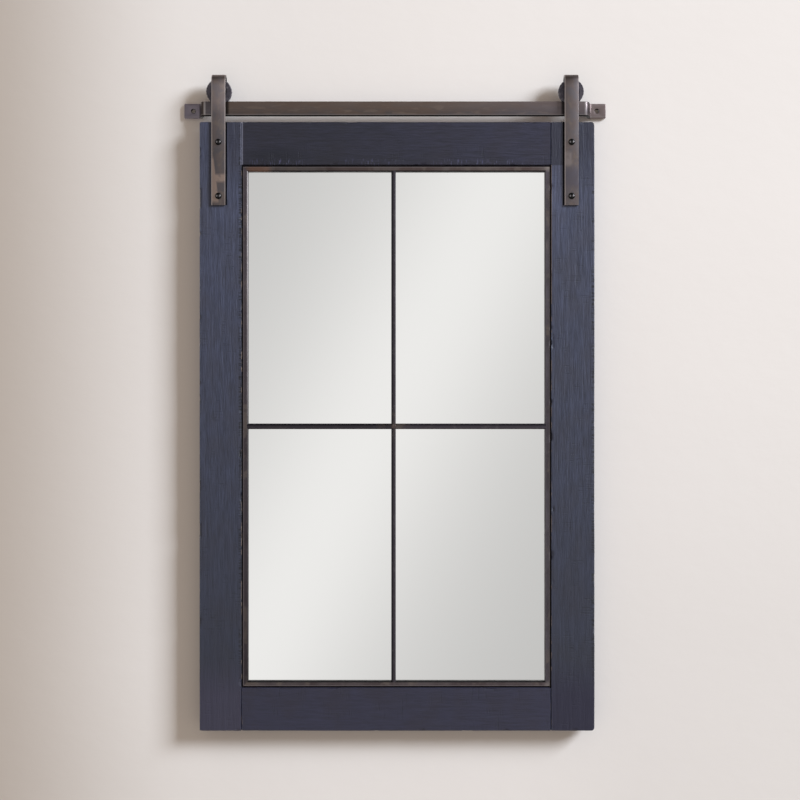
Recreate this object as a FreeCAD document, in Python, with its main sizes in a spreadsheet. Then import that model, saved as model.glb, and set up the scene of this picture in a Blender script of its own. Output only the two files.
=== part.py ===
import FreeCAD, Part
import math
import operator
import os

import Sketcher

# A wall mirror made like a small sliding barn door. A flat steel track is bent back to the wall at
# both ends. Two steel straps hook over it on grooved wheels and carry a painted plank frame, which
# holds a steel window frame of four panes with one mirror behind it.
# The wall is the plane y = 0 and the front looks along -Y. The origin lies on the wall, midway
# between the two wall holes, at the height of the track. Lengths are in millimetres.

SIZES = {
    # track: a flat bar, joggled back at both ends into a tab with one hole
    "track_high": 25,
    "track_thick": 6,
    "track_standoff": 23.5,
    "track_past_hanger": 23.5,
    "track_lean": 5.9,
    "track_bend": 2,
    "tab_long": 28.7,
    "tab_hole_inset": 15.5,
    "tab_hole": 7,
    "tab_corner": 1.7,
    # plank frame
    "panel_wide": 672,
    "panel_high": 1036,
    "panel_gap": 10.8,
    "panel_shift": 3.5,
    "plank_thick": 22,
    "stile_left_wide": 72,
    "stile_right_wide": 74,
    "rail_high": 74,
    "plank_corner_left": 2,
    "plank_corner_right": 5.5,
    "plank_arris": 1.2,
    "rabbet_wide": 10,
    "lip_thick": 7.5,
    "dowel": 8,
    "dowel_long": 48,
    "dowel_spread": 36,
    "dowel_end_room": 1,
    "glue_room": 0.1,
    # steel window frame and its glazing bars
    "window_gap": 2,
    "window_setback": 3,
    "window_face": 8.4,
    "window_chamfer": 1.8,
    "window_flange": 3,
    "window_arris": 0.6,
    "flange_room": 1.5,
    "muntin_upright_wide": 7.6,
    "muntin_level_wide": 9.4,
    "muntin_shift": -5,
    # mirror, its backing board and what holds them in
    "mirror_thick": 4,
    "mirror_room": 2,
    "mirror_arris": 0.5,
    "backing_set": 2.5,
    "clip_thick": 1.2,
    "clip_wide": 14,
    "clip_on_wood": 16,
    "clip_on_board": 12,
    "clip_step": 1.5,
    "clip_end_room": 154,
    "clip_side_room": 133,
    "clip_screw_inset": 9,
    "clip_screw": 3.4,
    "clip_screw_long": 12,
    "clip_screw_head": 7,
    "clip_screw_head_high": 1.8,
    "clip_screw_dome": 1.4,
    # strap hangers
    "hanger_inset": 36,
    "strap_wide": 24,
    "strap_thick": 3.5,
    "strap_head_room": 3.9,
    "strap_foot_drop": 142.3,
    "strap_crown": 1,
    "strap_arris": 0.4,
    "strap_screw_drop": 35,
    "strap_screw_pitch": 91.7,
    "strap_screw": 5,
    "strap_screw_cover": 7.5,
    "strap_screw_head": 11,
    "strap_screw_head_high": 3.4,
    "strap_screw_dome": 3,
    "recess_long": 6,
    "recess_wide": 1.3,
    "recess_deep": 1.7,
    "hole_room": 0.2,
    # wheels and axles
    "wheel_groove": 32.4,
    "wheel_flange": 5.3,
    "wheel_wide": 13,
    "groove_room": 0.5,
    "groove_flare": 1,
    "hub": 17,
    "web_inset": 2.2,
    "web_deep": 1.5,
    "rim_arris": 0.7,
    "notch_wide": 2.4,
    "notch_deep": 0.7,
    "wheel_lift": 0.3,
    "axle": 8,
    "axle_seat": 2,
    "axle_end": 1,
    "axle_chamfer": 0.8,
    "axle_room": 0.05,
    "washer": 16,
    "spacer_wide": 3,
    "washer_room": 0.1,
    "nut_flats": 13,
    "nut_high": 6.5,
    # rubber bumpers behind the lower corners
    "bumper": 22,
    "bumper_top": 18,
    "bumper_room": 0.8,
    "bumper_round": 2,
    "bumper_inset": 27,
    "bumper_recess": 9.5,
    "bumper_floor": 5,
    "bumper_screw": 4,
    "bumper_screw_long": 16,
    "bumper_screw_head": 8,
    "bumper_screw_head_high": 2.4,
    "bumper_screw_dome": 1.6,
    # how far every cut runs past what it cuts
    "overrun": 5,
}
NOTCHES = 26
FULL_TURN = 360
HEX_SIDES = 6

OPERATIONS = {"+": operator.add, "-": operator.sub, "*": operator.mul, "/": operator.truediv}


class Size:
    """A length that keeps its value together with the expression that gives it."""

    def __init__(self, value, text):
        self.value = float(value)
        self.text = text

    def __add__(self, other):
        return joined(self, "+", other)

    def __sub__(self, other):
        return joined(self, "-", other)

    def __mul__(self, other):
        return joined(self, "*", other)

    def __rmul__(self, other):
        return joined(other, "*", self)

    def __truediv__(self, other):
        return joined(self, "/", other)

    def __neg__(self):
        return joined(0, "-", self)


def as_size(item):
    return item if isinstance(item, Size) else Size(item, repr(item))


def joined(left, sign, right):
    left, right = as_size(left), as_size(right)
    return Size(OPERATIONS[sign](left.value, right.value), f"({left.text} {sign} {right.text})")


def root(length):
    return Size(math.sqrt(length.value), f"sqrt({length.text})")


doc = FreeCAD.newDocument("barn_door_mirror")
sheet = doc.addObject("Spreadsheet::Sheet", "sizes")
for row, (alias, number) in enumerate(SIZES.items(), 1):
    sheet.set(f"A{row}", alias)
    sheet.set(f"B{row}", str(number))
    sheet.setAlias(f"B{row}", alias)
doc.recompute()


def size(alias):
    return Size(getattr(sheet, alias), f"sizes.{alias}")


# Places that several pieces share, worked out from the sheet. Those of the panel are counted from
# the middle of its back face, and depths in it are counted forwards from there.
OVERRUN = size("overrun")
TRACK_BACK = -size("track_standoff")
TRACK_MIDDLE = TRACK_BACK - size("track_thick") / 2
AXLE_RISE = size("track_high") / 2 + size("wheel_lift") + size("wheel_groove") / 2
WHEEL_RADIUS = size("wheel_groove") / 2 + size("wheel_flange")
STRAP_HALF_GAP = size("wheel_wide") / 2 + size("spacer_wide")

PANEL_HALF_WIDE = size("panel_wide") / 2
PANEL_HALF_HIGH = size("panel_high") / 2
PANEL_TOP = -size("track_high") / 2 - size("panel_gap")
PANEL_RISE = PANEL_TOP - PANEL_HALF_HIGH
PANEL_BACK = TRACK_MIDDLE - STRAP_HALF_GAP + size("plank_thick")
JOINT_LEFT = size("stile_left_wide") - PANEL_HALF_WIDE
JOINT_RIGHT = PANEL_HALF_WIDE - size("stile_right_wide")
OPENING_MIDDLE = (JOINT_LEFT + JOINT_RIGHT) / 2
OPENING_HALF_WIDE = (JOINT_RIGHT - JOINT_LEFT) / 2
OPENING_HALF_HIGH = PANEL_HALF_HIGH - size("rail_high")
RABBET_DEEP = size("plank_thick") - size("lip_thick")
RABBET_HALF_WIDE = OPENING_HALF_WIDE + size("rabbet_wide")
RABBET_HALF_HIGH = OPENING_HALF_HIGH + size("rabbet_wide")
RAIL_MIDDLE = PANEL_HALF_HIGH - size("rail_high") / 2

WINDOW_HALF_WIDE = OPENING_HALF_WIDE - size("window_gap")
WINDOW_HALF_HIGH = OPENING_HALF_HIGH - size("window_gap")
WINDOW_FRONT = size("plank_thick") - size("window_setback")
FLANGE_OUT = size("window_gap") + size("rabbet_wide") - size("flange_room")
FLANGE_BACK = RABBET_DEEP - size("window_flange")
PANE_HALF_WIDE = WINDOW_HALF_WIDE - size("window_face")
PANE_HALF_HIGH = WINDOW_HALF_HIGH - size("window_face")
MIRROR_BACK = FLANGE_BACK - size("mirror_thick")

HANGER_OUT = PANEL_HALF_WIDE - size("hanger_inset")
STRAP_HALF_WIDE = size("strap_wide") / 2
STRAP_SCREW_LONG = size("strap_thick") + size("plank_thick") - size("strap_screw_cover")
STRAP_SCREW_RISES = (
    PANEL_TOP - size("strap_screw_drop"),
    PANEL_TOP - size("strap_screw_drop") - size("strap_screw_pitch"),
)
SIDES = (("left", -1), ("right", 1))


def bind(thing, name, length):
    thing.setExpression(name, as_size(length).text)


def new_body(label):
    body = doc.addObject("PartDesign::Body", label)
    body.Label = label
    return body


def place(thing, across=0, back=0, rise=0, turn=0, axis=(0, 1, 0)):
    """Puts a piece at its place, turned by an angle about an axis."""
    rotation = FreeCAD.Rotation(FreeCAD.Vector(axis), turn)
    thing.Placement = FreeCAD.Placement(FreeCAD.Vector(), rotation)
    bind(thing, "Placement.Base.x", across)
    bind(thing, "Placement.Base.y", back)
    bind(thing, "Placement.Base.z", rise)
    return thing


def place_on_panel(thing):
    return place(thing, size("panel_shift"), PANEL_BACK, PANEL_RISE)


def new_sketch(body, plane, name, lift=0):
    """Starts a sketch on one of the body's own origin planes, lifted along its normal."""
    sketch = body.newObject("Sketcher::SketchObject", f"{body.Label}_{name}")
    support = next(item for item in body.Origin.OriginFeatures if item.Role == plane)
    sketch.AttachmentSupport = (support, [""])
    sketch.MapMode = "FlatFace"
    bind(sketch, "AttachmentOffset.Base.z", lift)
    return sketch


def fix_point(sketch, item, end, across, up):
    """Ties a point of the sketch to its distances from the sketch's origin."""
    for kind, length, axis in (("DistanceX", across, -2), ("DistanceY", up, -1)):
        length = as_size(length)
        if length.text == "0":
            sketch.addConstraint(Sketcher.Constraint("PointOnObject", item, end, axis))
        else:
            row = sketch.addConstraint(Sketcher.Constraint(kind, -1, 1, item, end, length.value))
            bind(sketch, f"Constraints[{row}]", length)


def fix_radius(sketch, item, radius):
    row = sketch.addConstraint(Sketcher.Constraint("Radius", item, radius.value))
    bind(sketch, f"Constraints[{row}]", radius)


def draw_circle(sketch, across, up, radius):
    centre = FreeCAD.Vector(as_size(across).value, as_size(up).value)
    item = sketch.addGeometry(Part.Circle(centre, FreeCAD.Vector(0, 0, 1), radius.value), False)
    fix_point(sketch, item, 3, across, up)
    fix_radius(sketch, item, radius)


def rounding(before, point, after, radius):
    """Gives an arc's centre, its first and last point, and whether it turns to the left."""
    backwards = (before - point).normalize()
    onwards = (after - point).normalize()
    half = backwards.getAngle(onwards) / 2
    trim = radius / math.tan(half)
    centre = point + (backwards + onwards).normalize() * (radius / math.sin(half))
    leftward = backwards.cross(onwards).z < 0
    return centre, point + backwards * trim, point + onwards * trim, leftward


def draw_outline(sketch, corners):
    """Draws a closed outline through corners, each one sharp or rounded by a radius."""
    points = [FreeCAD.Vector(as_size(c[0]).value, as_size(c[1]).value) for c in corners]
    following = points[1:] + points[:1]
    rounds = []
    for index, corner in enumerate(corners):
        radius = corner[2].value if len(corner) == 3 else 0
        rounds.append(rounding(points[index - 1], points[index], following[index], radius))
    lines = [
        sketch.addGeometry(Part.LineSegment(here[2], there[1]), False)
        for here, there in zip(rounds, rounds[1:] + rounds[:1])
    ]
    for index, corner in enumerate(corners):
        incoming, outgoing = lines[index - 1], lines[index]
        if len(corner) == 2:
            sketch.addConstraint(Sketcher.Constraint("Coincident", incoming, 2, outgoing, 1))
            fix_point(sketch, outgoing, 1, *corner)
            continue
        centre, first, last, leftward = rounds[index]
        circle = Part.Circle(centre, FreeCAD.Vector(0, 0, 1), corner[2].value)
        ends = (first, last) if leftward else (last, first)
        angles = [math.atan2(end.y - centre.y, end.x - centre.x) for end in ends]
        arc = sketch.addGeometry(Part.ArcOfCircle(circle, *angles), False)
        peak = sketch.addGeometry(Part.Point(points[index]), True)
        arc_in, arc_out = (1, 2) if leftward else (2, 1)
        sketch.addConstraint(Sketcher.Constraint("Tangent", incoming, 2, arc, arc_in))
        sketch.addConstraint(Sketcher.Constraint("Tangent", outgoing, 1, arc, arc_out))
        sketch.addConstraint(Sketcher.Constraint("PointOnObject", peak, 1, incoming))
        sketch.addConstraint(Sketcher.Constraint("PointOnObject", peak, 1, outgoing))
        fix_point(sketch, peak, 1, corner[0], corner[1])
        fix_radius(sketch, arc, corner[2])


def draw_box(sketch, left, right, low, high):
    draw_outline(sketch, [(left, low), (right, low), (right, high), (left, high)])


def pad(body, sketch, length, both_ways=False):
    """Raises a sketch into a solid along its normal, or evenly both ways."""
    feature = body.newObject("PartDesign::Pad", f"{sketch.Label}_pad")
    feature.Profile = sketch
    feature.SideType = "Symmetric" if both_ways else "One side"
    bind(feature, "Length", length)
    doc.recompute()


def cut(body, sketch, length, forwards=False, both_ways=False):
    """Cuts a sketch out of its body against or along its normal, and stops if nothing was cut."""
    before = body.Shape.Volume
    feature = body.newObject("PartDesign::Pocket", f"{sketch.Label}_cut")
    feature.Profile = sketch
    feature.SideType = "Symmetric" if both_ways else "One side"
    feature.Reversed = forwards
    bind(feature, "Length", length)
    doc.recompute()
    if not body.Shape.Volume < before:
        raise RuntimeError(f"{sketch.Label} cut nothing")
    return feature


def near(value, length):
    return abs(value - as_size(length).value) < 1e-4


def runs_along(edge, axis):
    first, last = edge.valueAt(edge.FirstParameter), edge.valueAt(edge.LastParameter)
    return near((last - first).cross(FreeCAD.Vector(axis)).Length, 0)


def dress(body, kind, size_name, length, test):
    """Rounds or chamfers those edges of the body so far that pass a test."""
    base = body.Tip
    names = [f"Edge{n}" for n, edge in enumerate(base.Shape.Edges, 1) if test(edge)]
    feature = body.newObject(f"PartDesign::{kind}", f"{body.Label}_{kind.lower()}")
    feature.Base = (base, names)
    bind(feature, size_name, length)
    doc.recompute()


def turned_piece(label, corners, plane="XY_Plane", axis="V_Axis"):
    """Turns a half profile about an axis of its sketch. By default the piece stands along Y."""
    body = new_body(label)
    sketch = new_sketch(body, plane, "profile")
    draw_outline(sketch, corners)
    feature = body.newObject("PartDesign::Revolution", f"{label}_turned")
    feature.Profile = sketch
    feature.ReferenceAxis = (sketch, [axis])
    feature.Angle = FULL_TURN
    doc.recompute()
    return body


def group(label, prototype, places):
    """Sets copies of one piece at several places, as one named group of separate solids."""
    copies = []
    for number, spot in enumerate(places, 1):
        copy = doc.addObject("App::Link", f"{label}_{number}")
        copy.LinkedObject = prototype
        copies.append(place(copy, **spot))
    gathered = doc.addObject("Part::Compound", label)
    gathered.Label = label
    gathered.Links = copies
    return gathered


def track_bar():
    """A flat bar set on edge, joggled back to the wall at each end, where a tab takes one screw."""
    body = new_body("track_bar")
    half = size("track_thick") / 2
    drop = size("track_standoff")
    lean = size("track_lean")
    # the tangent of half the turn of each bend
    swing = (root(lean * lean + drop * drop) - lean) / drop
    inner = size("track_bend")
    outer = inner + size("track_thick")
    knee = HANGER_OUT + size("track_past_hanger") + (inner + half) * swing
    heel = knee + lean
    end = heel + size("tab_long")
    front = [
        (end, -size("track_thick")),
        (heel + half * swing, -size("track_thick"), inner),
        (knee + half * swing, TRACK_BACK - size("track_thick"), outer),
    ]
    back = [
        (knee - half * swing, TRACK_BACK, inner),
        (heel - half * swing, 0, outer),
        (end, 0),
    ]
    front_left, back_left = (
        [(-corner[0], *corner[1:]) for corner in reversed(side)] for side in (front, back)
    )
    sketch = new_sketch(body, "XY_Plane", "outline")
    draw_outline(sketch, front + front_left + back_left + back)
    pad(body, sketch, size("track_high"), both_ways=True)
    holes = new_sketch(body, "XZ_Plane", "holes")
    for _, side in SIDES:
        draw_circle(holes, side * (end - size("tab_hole_inset")), 0, size("tab_hole") / 2)
    cut(body, holes, size("track_thick") + OVERRUN, forwards=True)
    dress(
        body, "Fillet", "Radius", size("tab_corner"),
        lambda edge: runs_along(edge, (0, 1, 0)) and near(abs(edge.CenterOfMass.x), end),
    )
    return [body]


def pilot_holes(body, name, spots, radius, deep, from_front=False):
    """Bores blind holes for screws into a plank from its back, or from its front."""
    lift = size("plank_thick") if from_front else 0
    sketch = new_sketch(body, "XZ_Plane", name, lift)
    for across, rise in spots:
        draw_circle(sketch, across, rise, radius + size("glue_room"))
    cut(body, sketch, deep + size("dowel_end_room"), forwards=not from_front)


def dowel_holes(body, name, joint, rises, forwards):
    sketch = new_sketch(body, "YZ_Plane", name, joint)
    for rise in rises:
        draw_circle(sketch, -size("plank_thick") / 2, rise, size("dowel") / 2 + size("glue_room"))
    deep = size("dowel_long") / 2 + size("dowel_end_room")
    cut(body, sketch, deep, forwards=forwards)


def dowel_rises(end):
    """Heights of the two dowels at the upper end (1) or the lower end (-1) of the panel."""
    half_spread = size("dowel_spread") / 2
    return [end * RAIL_MIDDLE - half_spread, end * RAIL_MIDDLE + half_spread]


def clip_rises():
    return [step * (RABBET_HALF_HIGH - size("clip_end_room")) for step in (-1, 0, 1)]


def clip_places_across():
    out = RABBET_HALF_WIDE - size("clip_side_room")
    return [OPENING_MIDDLE + side * out for _, side in SIDES]


def stiles():
    """The two upright planks, which run the full height of the panel."""
    made = []
    for name, side in SIDES:
        body = new_body(f"stile_{name}")
        joint = JOINT_LEFT if side < 0 else JOINT_RIGHT
        outer = side * PANEL_HALF_WIDE
        corner = size(f"plank_corner_{name}")
        outline = new_sketch(body, "XZ_Plane", "outline")
        draw_outline(outline, [
            (joint, -PANEL_HALF_HIGH),
            (outer, -PANEL_HALF_HIGH, corner),
            (outer, PANEL_HALF_HIGH, corner),
            (joint, PANEL_HALF_HIGH),
        ])
        pad(body, outline, size("plank_thick"))
        rabbet = new_sketch(body, "XZ_Plane", "rabbet")
        draw_box(
            rabbet, joint - side * OVERRUN, joint + side * size("rabbet_wide"),
            -RABBET_HALF_HIGH, RABBET_HALF_HIGH,
        )
        cut(body, rabbet, RABBET_DEEP, forwards=True)
        dowel_holes(body, "dowels", joint, dowel_rises(-1) + dowel_rises(1), side > 0)
        strap_across = side * HANGER_OUT - size("panel_shift")
        strap_spots = [(strap_across, rise - PANEL_RISE) for rise in STRAP_SCREW_RISES]
        pilot_holes(
            body, "strap_pilots", strap_spots, size("strap_screw") / 2,
            STRAP_SCREW_LONG - size("strap_thick"), from_front=True,
        )
        clip_across = joint + side * (size("rabbet_wide") + size("clip_screw_inset"))
        clip_spots = [(clip_across, rise) for rise in clip_rises()]
        pilot_holes(
            body, "clip_pilots", clip_spots, size("clip_screw") / 2, size("clip_screw_long"),
        )
        bumper_deep = size("bumper_screw_long") - size("bumper_floor")
        pilot_holes(
            body, "bumper_pilot", [bumper_spot(side)], size("bumper_screw") / 2, bumper_deep,
        )
        dress(
            body, "Fillet", "Radius", size("plank_arris"),
            lambda edge: near(edge.CenterOfMass.y, -size("plank_thick"))
            and near(edge.CenterOfMass.x, outer),
        )
        made.append(place_on_panel(body))
    return made


def rails():
    """The upper and lower planks, which fit between the stiles."""
    made = []
    for name, end in (("top", 1), ("bottom", -1)):
        body = new_body(f"rail_{name}")
        outline = new_sketch(body, "XZ_Plane", "outline")
        inner, outer = end * OPENING_HALF_HIGH, end * PANEL_HALF_HIGH
        draw_box(outline, JOINT_LEFT, JOINT_RIGHT, inner, outer)
        pad(body, outline, size("plank_thick"))
        rabbet = new_sketch(body, "XZ_Plane", "rabbet")
        draw_box(
            rabbet, JOINT_LEFT - OVERRUN, JOINT_RIGHT + OVERRUN,
            inner - end * OVERRUN, end * RABBET_HALF_HIGH,
        )
        cut(body, rabbet, RABBET_DEEP, forwards=True)
        dowel_holes(body, "dowels_left", JOINT_LEFT, dowel_rises(end), True)
        dowel_holes(body, "dowels_right", JOINT_RIGHT, dowel_rises(end), False)
        clip_rise = end * (RABBET_HALF_HIGH + size("clip_screw_inset"))
        clip_spots = [(across, clip_rise) for across in clip_places_across()]
        pilot_holes(
            body, "clip_pilots", clip_spots, size("clip_screw") / 2, size("clip_screw_long"),
        )
        dress(
            body, "Fillet", "Radius", size("plank_arris"),
            lambda edge: near(edge.CenterOfMass.y, -size("plank_thick"))
            and near(edge.CenterOfMass.z, outer),
        )
        made.append(place_on_panel(body))
    return made


def corner_dowels():
    """Two beech dowels through each corner joint of the panel."""
    dowel = new_body("dowel")
    section = new_sketch(dowel, "YZ_Plane", "section")
    draw_circle(section, 0, 0, size("dowel") / 2)
    pad(dowel, section, size("dowel_long"), both_ways=True)
    places = [
        {"across": joint, "back": -size("plank_thick") / 2, "rise": rise}
        for joint in (JOINT_LEFT, JOINT_RIGHT)
        for end in (-1, 1)
        for rise in dowel_rises(end)
    ]
    return [place_on_panel(group("corner_dowels", dowel, places))]


def place_on_window(body, across=0, rise=0, turn=0):
    middle = size("panel_shift") + OPENING_MIDDLE
    return place(body, middle + across, PANEL_BACK, PANEL_RISE + rise, turn)


def window_bar(label, half_long):
    """One side of the steel window frame: a chamfered nose with a flange behind it, mitred."""
    body = new_body(label)
    face = size("window_face")
    chamfer = size("window_chamfer")
    section = new_sketch(body, "YZ_Plane", "section")
    draw_outline(section, [
        (-FLANGE_BACK, FLANGE_OUT),
        (-RABBET_DEEP, FLANGE_OUT),
        (-RABBET_DEEP, 0),
        (-WINDOW_FRONT, 0, size("window_arris")),
        (-WINDOW_FRONT, chamfer - face),
        (chamfer - WINDOW_FRONT, -face),
        (-FLANGE_BACK, -face),
    ])
    half_flange = half_long + FLANGE_OUT
    pad(body, section, 2 * half_flange, both_ways=True)
    mitre = new_sketch(body, "XZ_Plane", "mitre")
    run = FLANGE_OUT + face + OVERRUN
    for _, side in SIDES:
        tip = side * (half_flange + OVERRUN)
        draw_outline(mitre, [
            (tip, FLANGE_OUT + OVERRUN),
            (side * (half_flange - run), FLANGE_OUT - run),
            (tip, FLANGE_OUT - run),
        ])
    cut(body, mitre, 2 * (size("plank_thick") + OVERRUN), both_ways=True)
    return body


def window_bars():
    """Four mitred and welded sides. Each is drawn lying along X with its outer side up."""
    across, rise = WINDOW_HALF_WIDE, WINDOW_HALF_HIGH
    return [
        place_on_window(window_bar("window_bar_top", across), rise=rise),
        place_on_window(window_bar("window_bar_bottom", across), rise=-rise, turn=180),
        place_on_window(window_bar("window_bar_left", rise), across=-across, turn=-90),
        place_on_window(window_bar("window_bar_right", rise), across=across, turn=90),
    ]


def coped_bar(label, plane, first, last, wide, turn_sketch):
    """A glazing bar whose two ends climb over the chamfers of the bars that it meets."""
    body = new_body(label)
    chamfer = size("window_chamfer")
    front, knee, back = -WINDOW_FRONT, chamfer - WINDOW_FRONT, -FLANGE_BACK
    corners = [
        (back, first),
        (knee, first),
        (front, first - chamfer),
        (front, last + chamfer),
        (knee, last),
        (back, last),
    ]
    if turn_sketch:
        corners = [(along, depth) for depth, along in corners]
    side = new_sketch(body, plane, "side")
    draw_outline(side, corners)
    pad(body, side, wide, both_ways=True)
    axis = (1, 0, 0) if turn_sketch else (0, 0, 1)
    dress(
        body, "Chamfer", "Size", chamfer,
        lambda edge: runs_along(edge, axis) and near(edge.CenterOfMass.y, front),
    )
    return body


def muntins():
    """An upright glazing bar of full height, and a level one in two pieces that meet it."""
    upright_side = size("muntin_upright_wide") / 2
    shift = size("muntin_shift")
    upright = coped_bar(
        "muntin_vertical", "YZ_Plane", -PANE_HALF_HIGH, PANE_HALF_HIGH,
        size("muntin_upright_wide"), False,
    )
    left = coped_bar(
        "muntin_left", "XY_Plane", -PANE_HALF_WIDE, shift - upright_side,
        size("muntin_level_wide"), True,
    )
    right = coped_bar(
        "muntin_right", "XY_Plane", shift + upright_side, PANE_HALF_WIDE,
        size("muntin_level_wide"), True,
    )
    return [place_on_window(upright, across=shift), place_on_window(left), place_on_window(right)]


def sheet_piece(label, back, thick):
    """A flat pane or board that fills the rabbet but for its room, its back at a given depth."""
    body = new_body(label)
    outline = new_sketch(body, "XZ_Plane", "outline", back)
    half_wide = RABBET_HALF_WIDE - size("mirror_room")
    half_high = RABBET_HALF_HIGH - size("mirror_room")
    draw_box(outline, -half_wide, half_wide, -half_high, half_high)
    pad(body, outline, thick)
    return place_on_window(body)


def mirror_glass():
    """The mirror, whose edges are ground to a small arris."""
    body = sheet_piece("mirror_glass", MIRROR_BACK, size("mirror_thick"))
    dress(
        body, "Chamfer", "Size", size("mirror_arris"),
        lambda edge: not runs_along(edge, (0, 1, 0)),
    )
    return [body]


def backing_board():
    set_in = size("backing_set")
    return [sheet_piece("backing_board", set_in, MIRROR_BACK - set_in)]


def around_rabbet(inset):
    """Places around the back of the rabbet, with +Z turned outwards, beyond its edge by an inset."""
    wide, high = RABBET_HALF_WIDE + inset, RABBET_HALF_HIGH + inset
    places = []
    for _, side in SIDES:
        places += [
            {"across": OPENING_MIDDLE + side * wide, "rise": rise, "turn": side * 90}
            for rise in clip_rises()
        ]
        places += [
            {"across": across, "rise": side * high, "turn": 0 if side > 0 else 180}
            for across in clip_places_across()
        ]
    return places


def retainer_clips():
    """Offset clips screwed to the back of the planks, which press on the backing board."""
    clip = new_body("clip")
    thick = size("clip_thick")
    step = size("clip_step")
    set_in = size("backing_set")
    side = new_sketch(clip, "YZ_Plane", "side")
    draw_outline(side, [
        (0, size("clip_on_wood")),
        (0, 0),
        (-set_in, -step),
        (-set_in, -size("clip_on_board")),
        (thick - set_in, -size("clip_on_board")),
        (thick - set_in, thick / 2 - step),
        (thick, thick / 2),
        (thick, size("clip_on_wood")),
    ])
    pad(clip, side, size("clip_wide"), both_ways=True)
    hole = new_sketch(clip, "XZ_Plane", "hole")
    draw_circle(hole, 0, size("clip_screw_inset"), size("clip_screw") / 2 + size("hole_room"))
    cut(clip, hole, thick + OVERRUN)
    return [place_on_panel(group("retainer_clips", clip, around_rabbet(0)))]


def screw(label, name, long, dome):
    """A round-headed screw with a cross recess. Its head stands on y = 0 and looks along +Y."""
    shank = size(name) / 2
    head = size(f"{name}_head") / 2
    high = size(f"{name}_head_high")
    body = turned_piece(label, [
        (0, high),
        (head, high, dome),
        (head, 0),
        (shank, 0),
        (shank, 2 * shank - long),
        (0, -long),
    ])
    arm = head * size("recess_long") / size("strap_screw_head")
    width = head * size("recess_wide") / size("strap_screw_head")
    recess = new_sketch(body, "XZ_Plane", "recess", -high)
    quarter = [(arm, -width), (arm, width), (width, width)]
    corners = []
    for _ in range(4):
        corners += quarter
        quarter = [(-up, across) for across, up in quarter]
    draw_outline(recess, corners)
    cut(body, recess, high * size("recess_deep") / size("strap_screw_head_high"), forwards=True)
    return body


def clip_screws():
    one = screw("clip_screw_one", "clip_screw", size("clip_screw_long"), size("clip_screw_dome"))
    places = around_rabbet(size("clip_screw_inset"))
    for spot in places:
        spot["back"] = size("clip_thick")
    return [place_on_panel(group("clip_screws", one, places))]


def bumper_spot(side):
    inset = size("bumper_inset")
    return side * (PANEL_HALF_WIDE - inset), inset - PANEL_HALF_HIGH


def bumpers():
    """Two rubber bumpers that keep the foot of the panel off the wall, and their sunk screws."""
    hole = size("bumper_screw") / 2 + size("hole_room")
    high = -PANEL_BACK - size("bumper_room")
    one = turned_piece("bumper_one", [
        (hole, 0),
        (size("bumper") / 2, 0),
        (size("bumper_top") / 2, high, size("bumper_round")),
        (size("bumper_recess") / 2, high),
        (size("bumper_recess") / 2, size("bumper_floor")),
        (hole, size("bumper_floor")),
    ])
    fixing = screw(
        "bumper_screw_one", "bumper_screw", size("bumper_screw_long"), size("bumper_screw_dome"),
    )
    spots = [bumper_spot(side) for _, side in SIDES]
    pads = [{"across": across, "rise": rise} for across, rise in spots]
    screws = [dict(spot, back=size("bumper_floor")) for spot in pads]
    return [
        place_on_panel(group("wall_bumpers", one, pads)),
        place_on_panel(group("bumper_screws", fixing, screws)),
    ]


def hanger_straps():
    """Steel straps that rise from the panel's face and bend back over the wheels."""
    made = []
    inner = STRAP_HALF_GAP
    outer = inner + size("strap_thick")
    under = AXLE_RISE + WHEEL_RADIUS + size("strap_head_room")
    top = under + size("strap_thick")
    foot = PANEL_TOP - size("strap_foot_drop")
    bend = inner - size("strap_crown")
    tail = AXLE_RISE - STRAP_HALF_WIDE
    for name, side in SIDES:
        body = new_body(f"hanger_strap_{name}")
        profile = new_sketch(body, "YZ_Plane", "profile")
        draw_outline(profile, [
            (-outer, foot),
            (-inner, foot),
            (-inner, under, bend),
            (inner, under, bend),
            (inner, tail),
            (outer, tail),
            (outer, top, bend + size("strap_thick")),
            (-outer, top, bend + size("strap_thick")),
        ])
        pad(body, profile, size("strap_wide"), both_ways=True)
        holes = new_sketch(body, "XZ_Plane", "screw_holes", inner)
        for rise in STRAP_SCREW_RISES:
            draw_circle(holes, 0, rise, size("strap_screw") / 2 + size("hole_room"))
        cut(body, holes, size("strap_thick") + OVERRUN, forwards=True)
        seat = new_sketch(body, "XZ_Plane", "axle_seat", inner)
        draw_circle(seat, 0, AXLE_RISE, size("axle") / 2 + size("axle_room"))
        cut(body, seat, size("axle_seat"), forwards=True)
        eye = new_sketch(body, "XZ_Plane", "axle_eye", -inner)
        draw_circle(eye, 0, AXLE_RISE, size("axle") / 2 + size("axle_room"))
        cut(body, eye, size("strap_thick") + OVERRUN)
        dress(
            body, "Fillet", "Radius", STRAP_HALF_WIDE - size("strap_crown"),
            lambda edge: runs_along(edge, (0, 1, 0)) and near(edge.CenterOfMass.z, tail),
        )
        dress(
            body, "Chamfer", "Size", size("strap_arris"),
            lambda edge: near(abs(edge.CenterOfMass.x), STRAP_HALF_WIDE)
            and near(edge.CenterOfMass.y, -outer) and runs_along(edge, (0, 0, 1)),
        )
        made.append(place(body, side * HANGER_OUT, TRACK_MIDDLE))
    return made


def strap_screws():
    one = screw("strap_screw_one", "strap_screw", STRAP_SCREW_LONG, size("strap_screw_dome"))
    face = TRACK_MIDDLE - STRAP_HALF_GAP - size("strap_thick")
    places = [
        {"across": side * HANGER_OUT, "back": face, "rise": rise, "turn": 180, "axis": (0, 0, 1)}
        for _, side in SIDES
        for rise in STRAP_SCREW_RISES
    ]
    return [group("strap_screws", one, places)]


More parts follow.
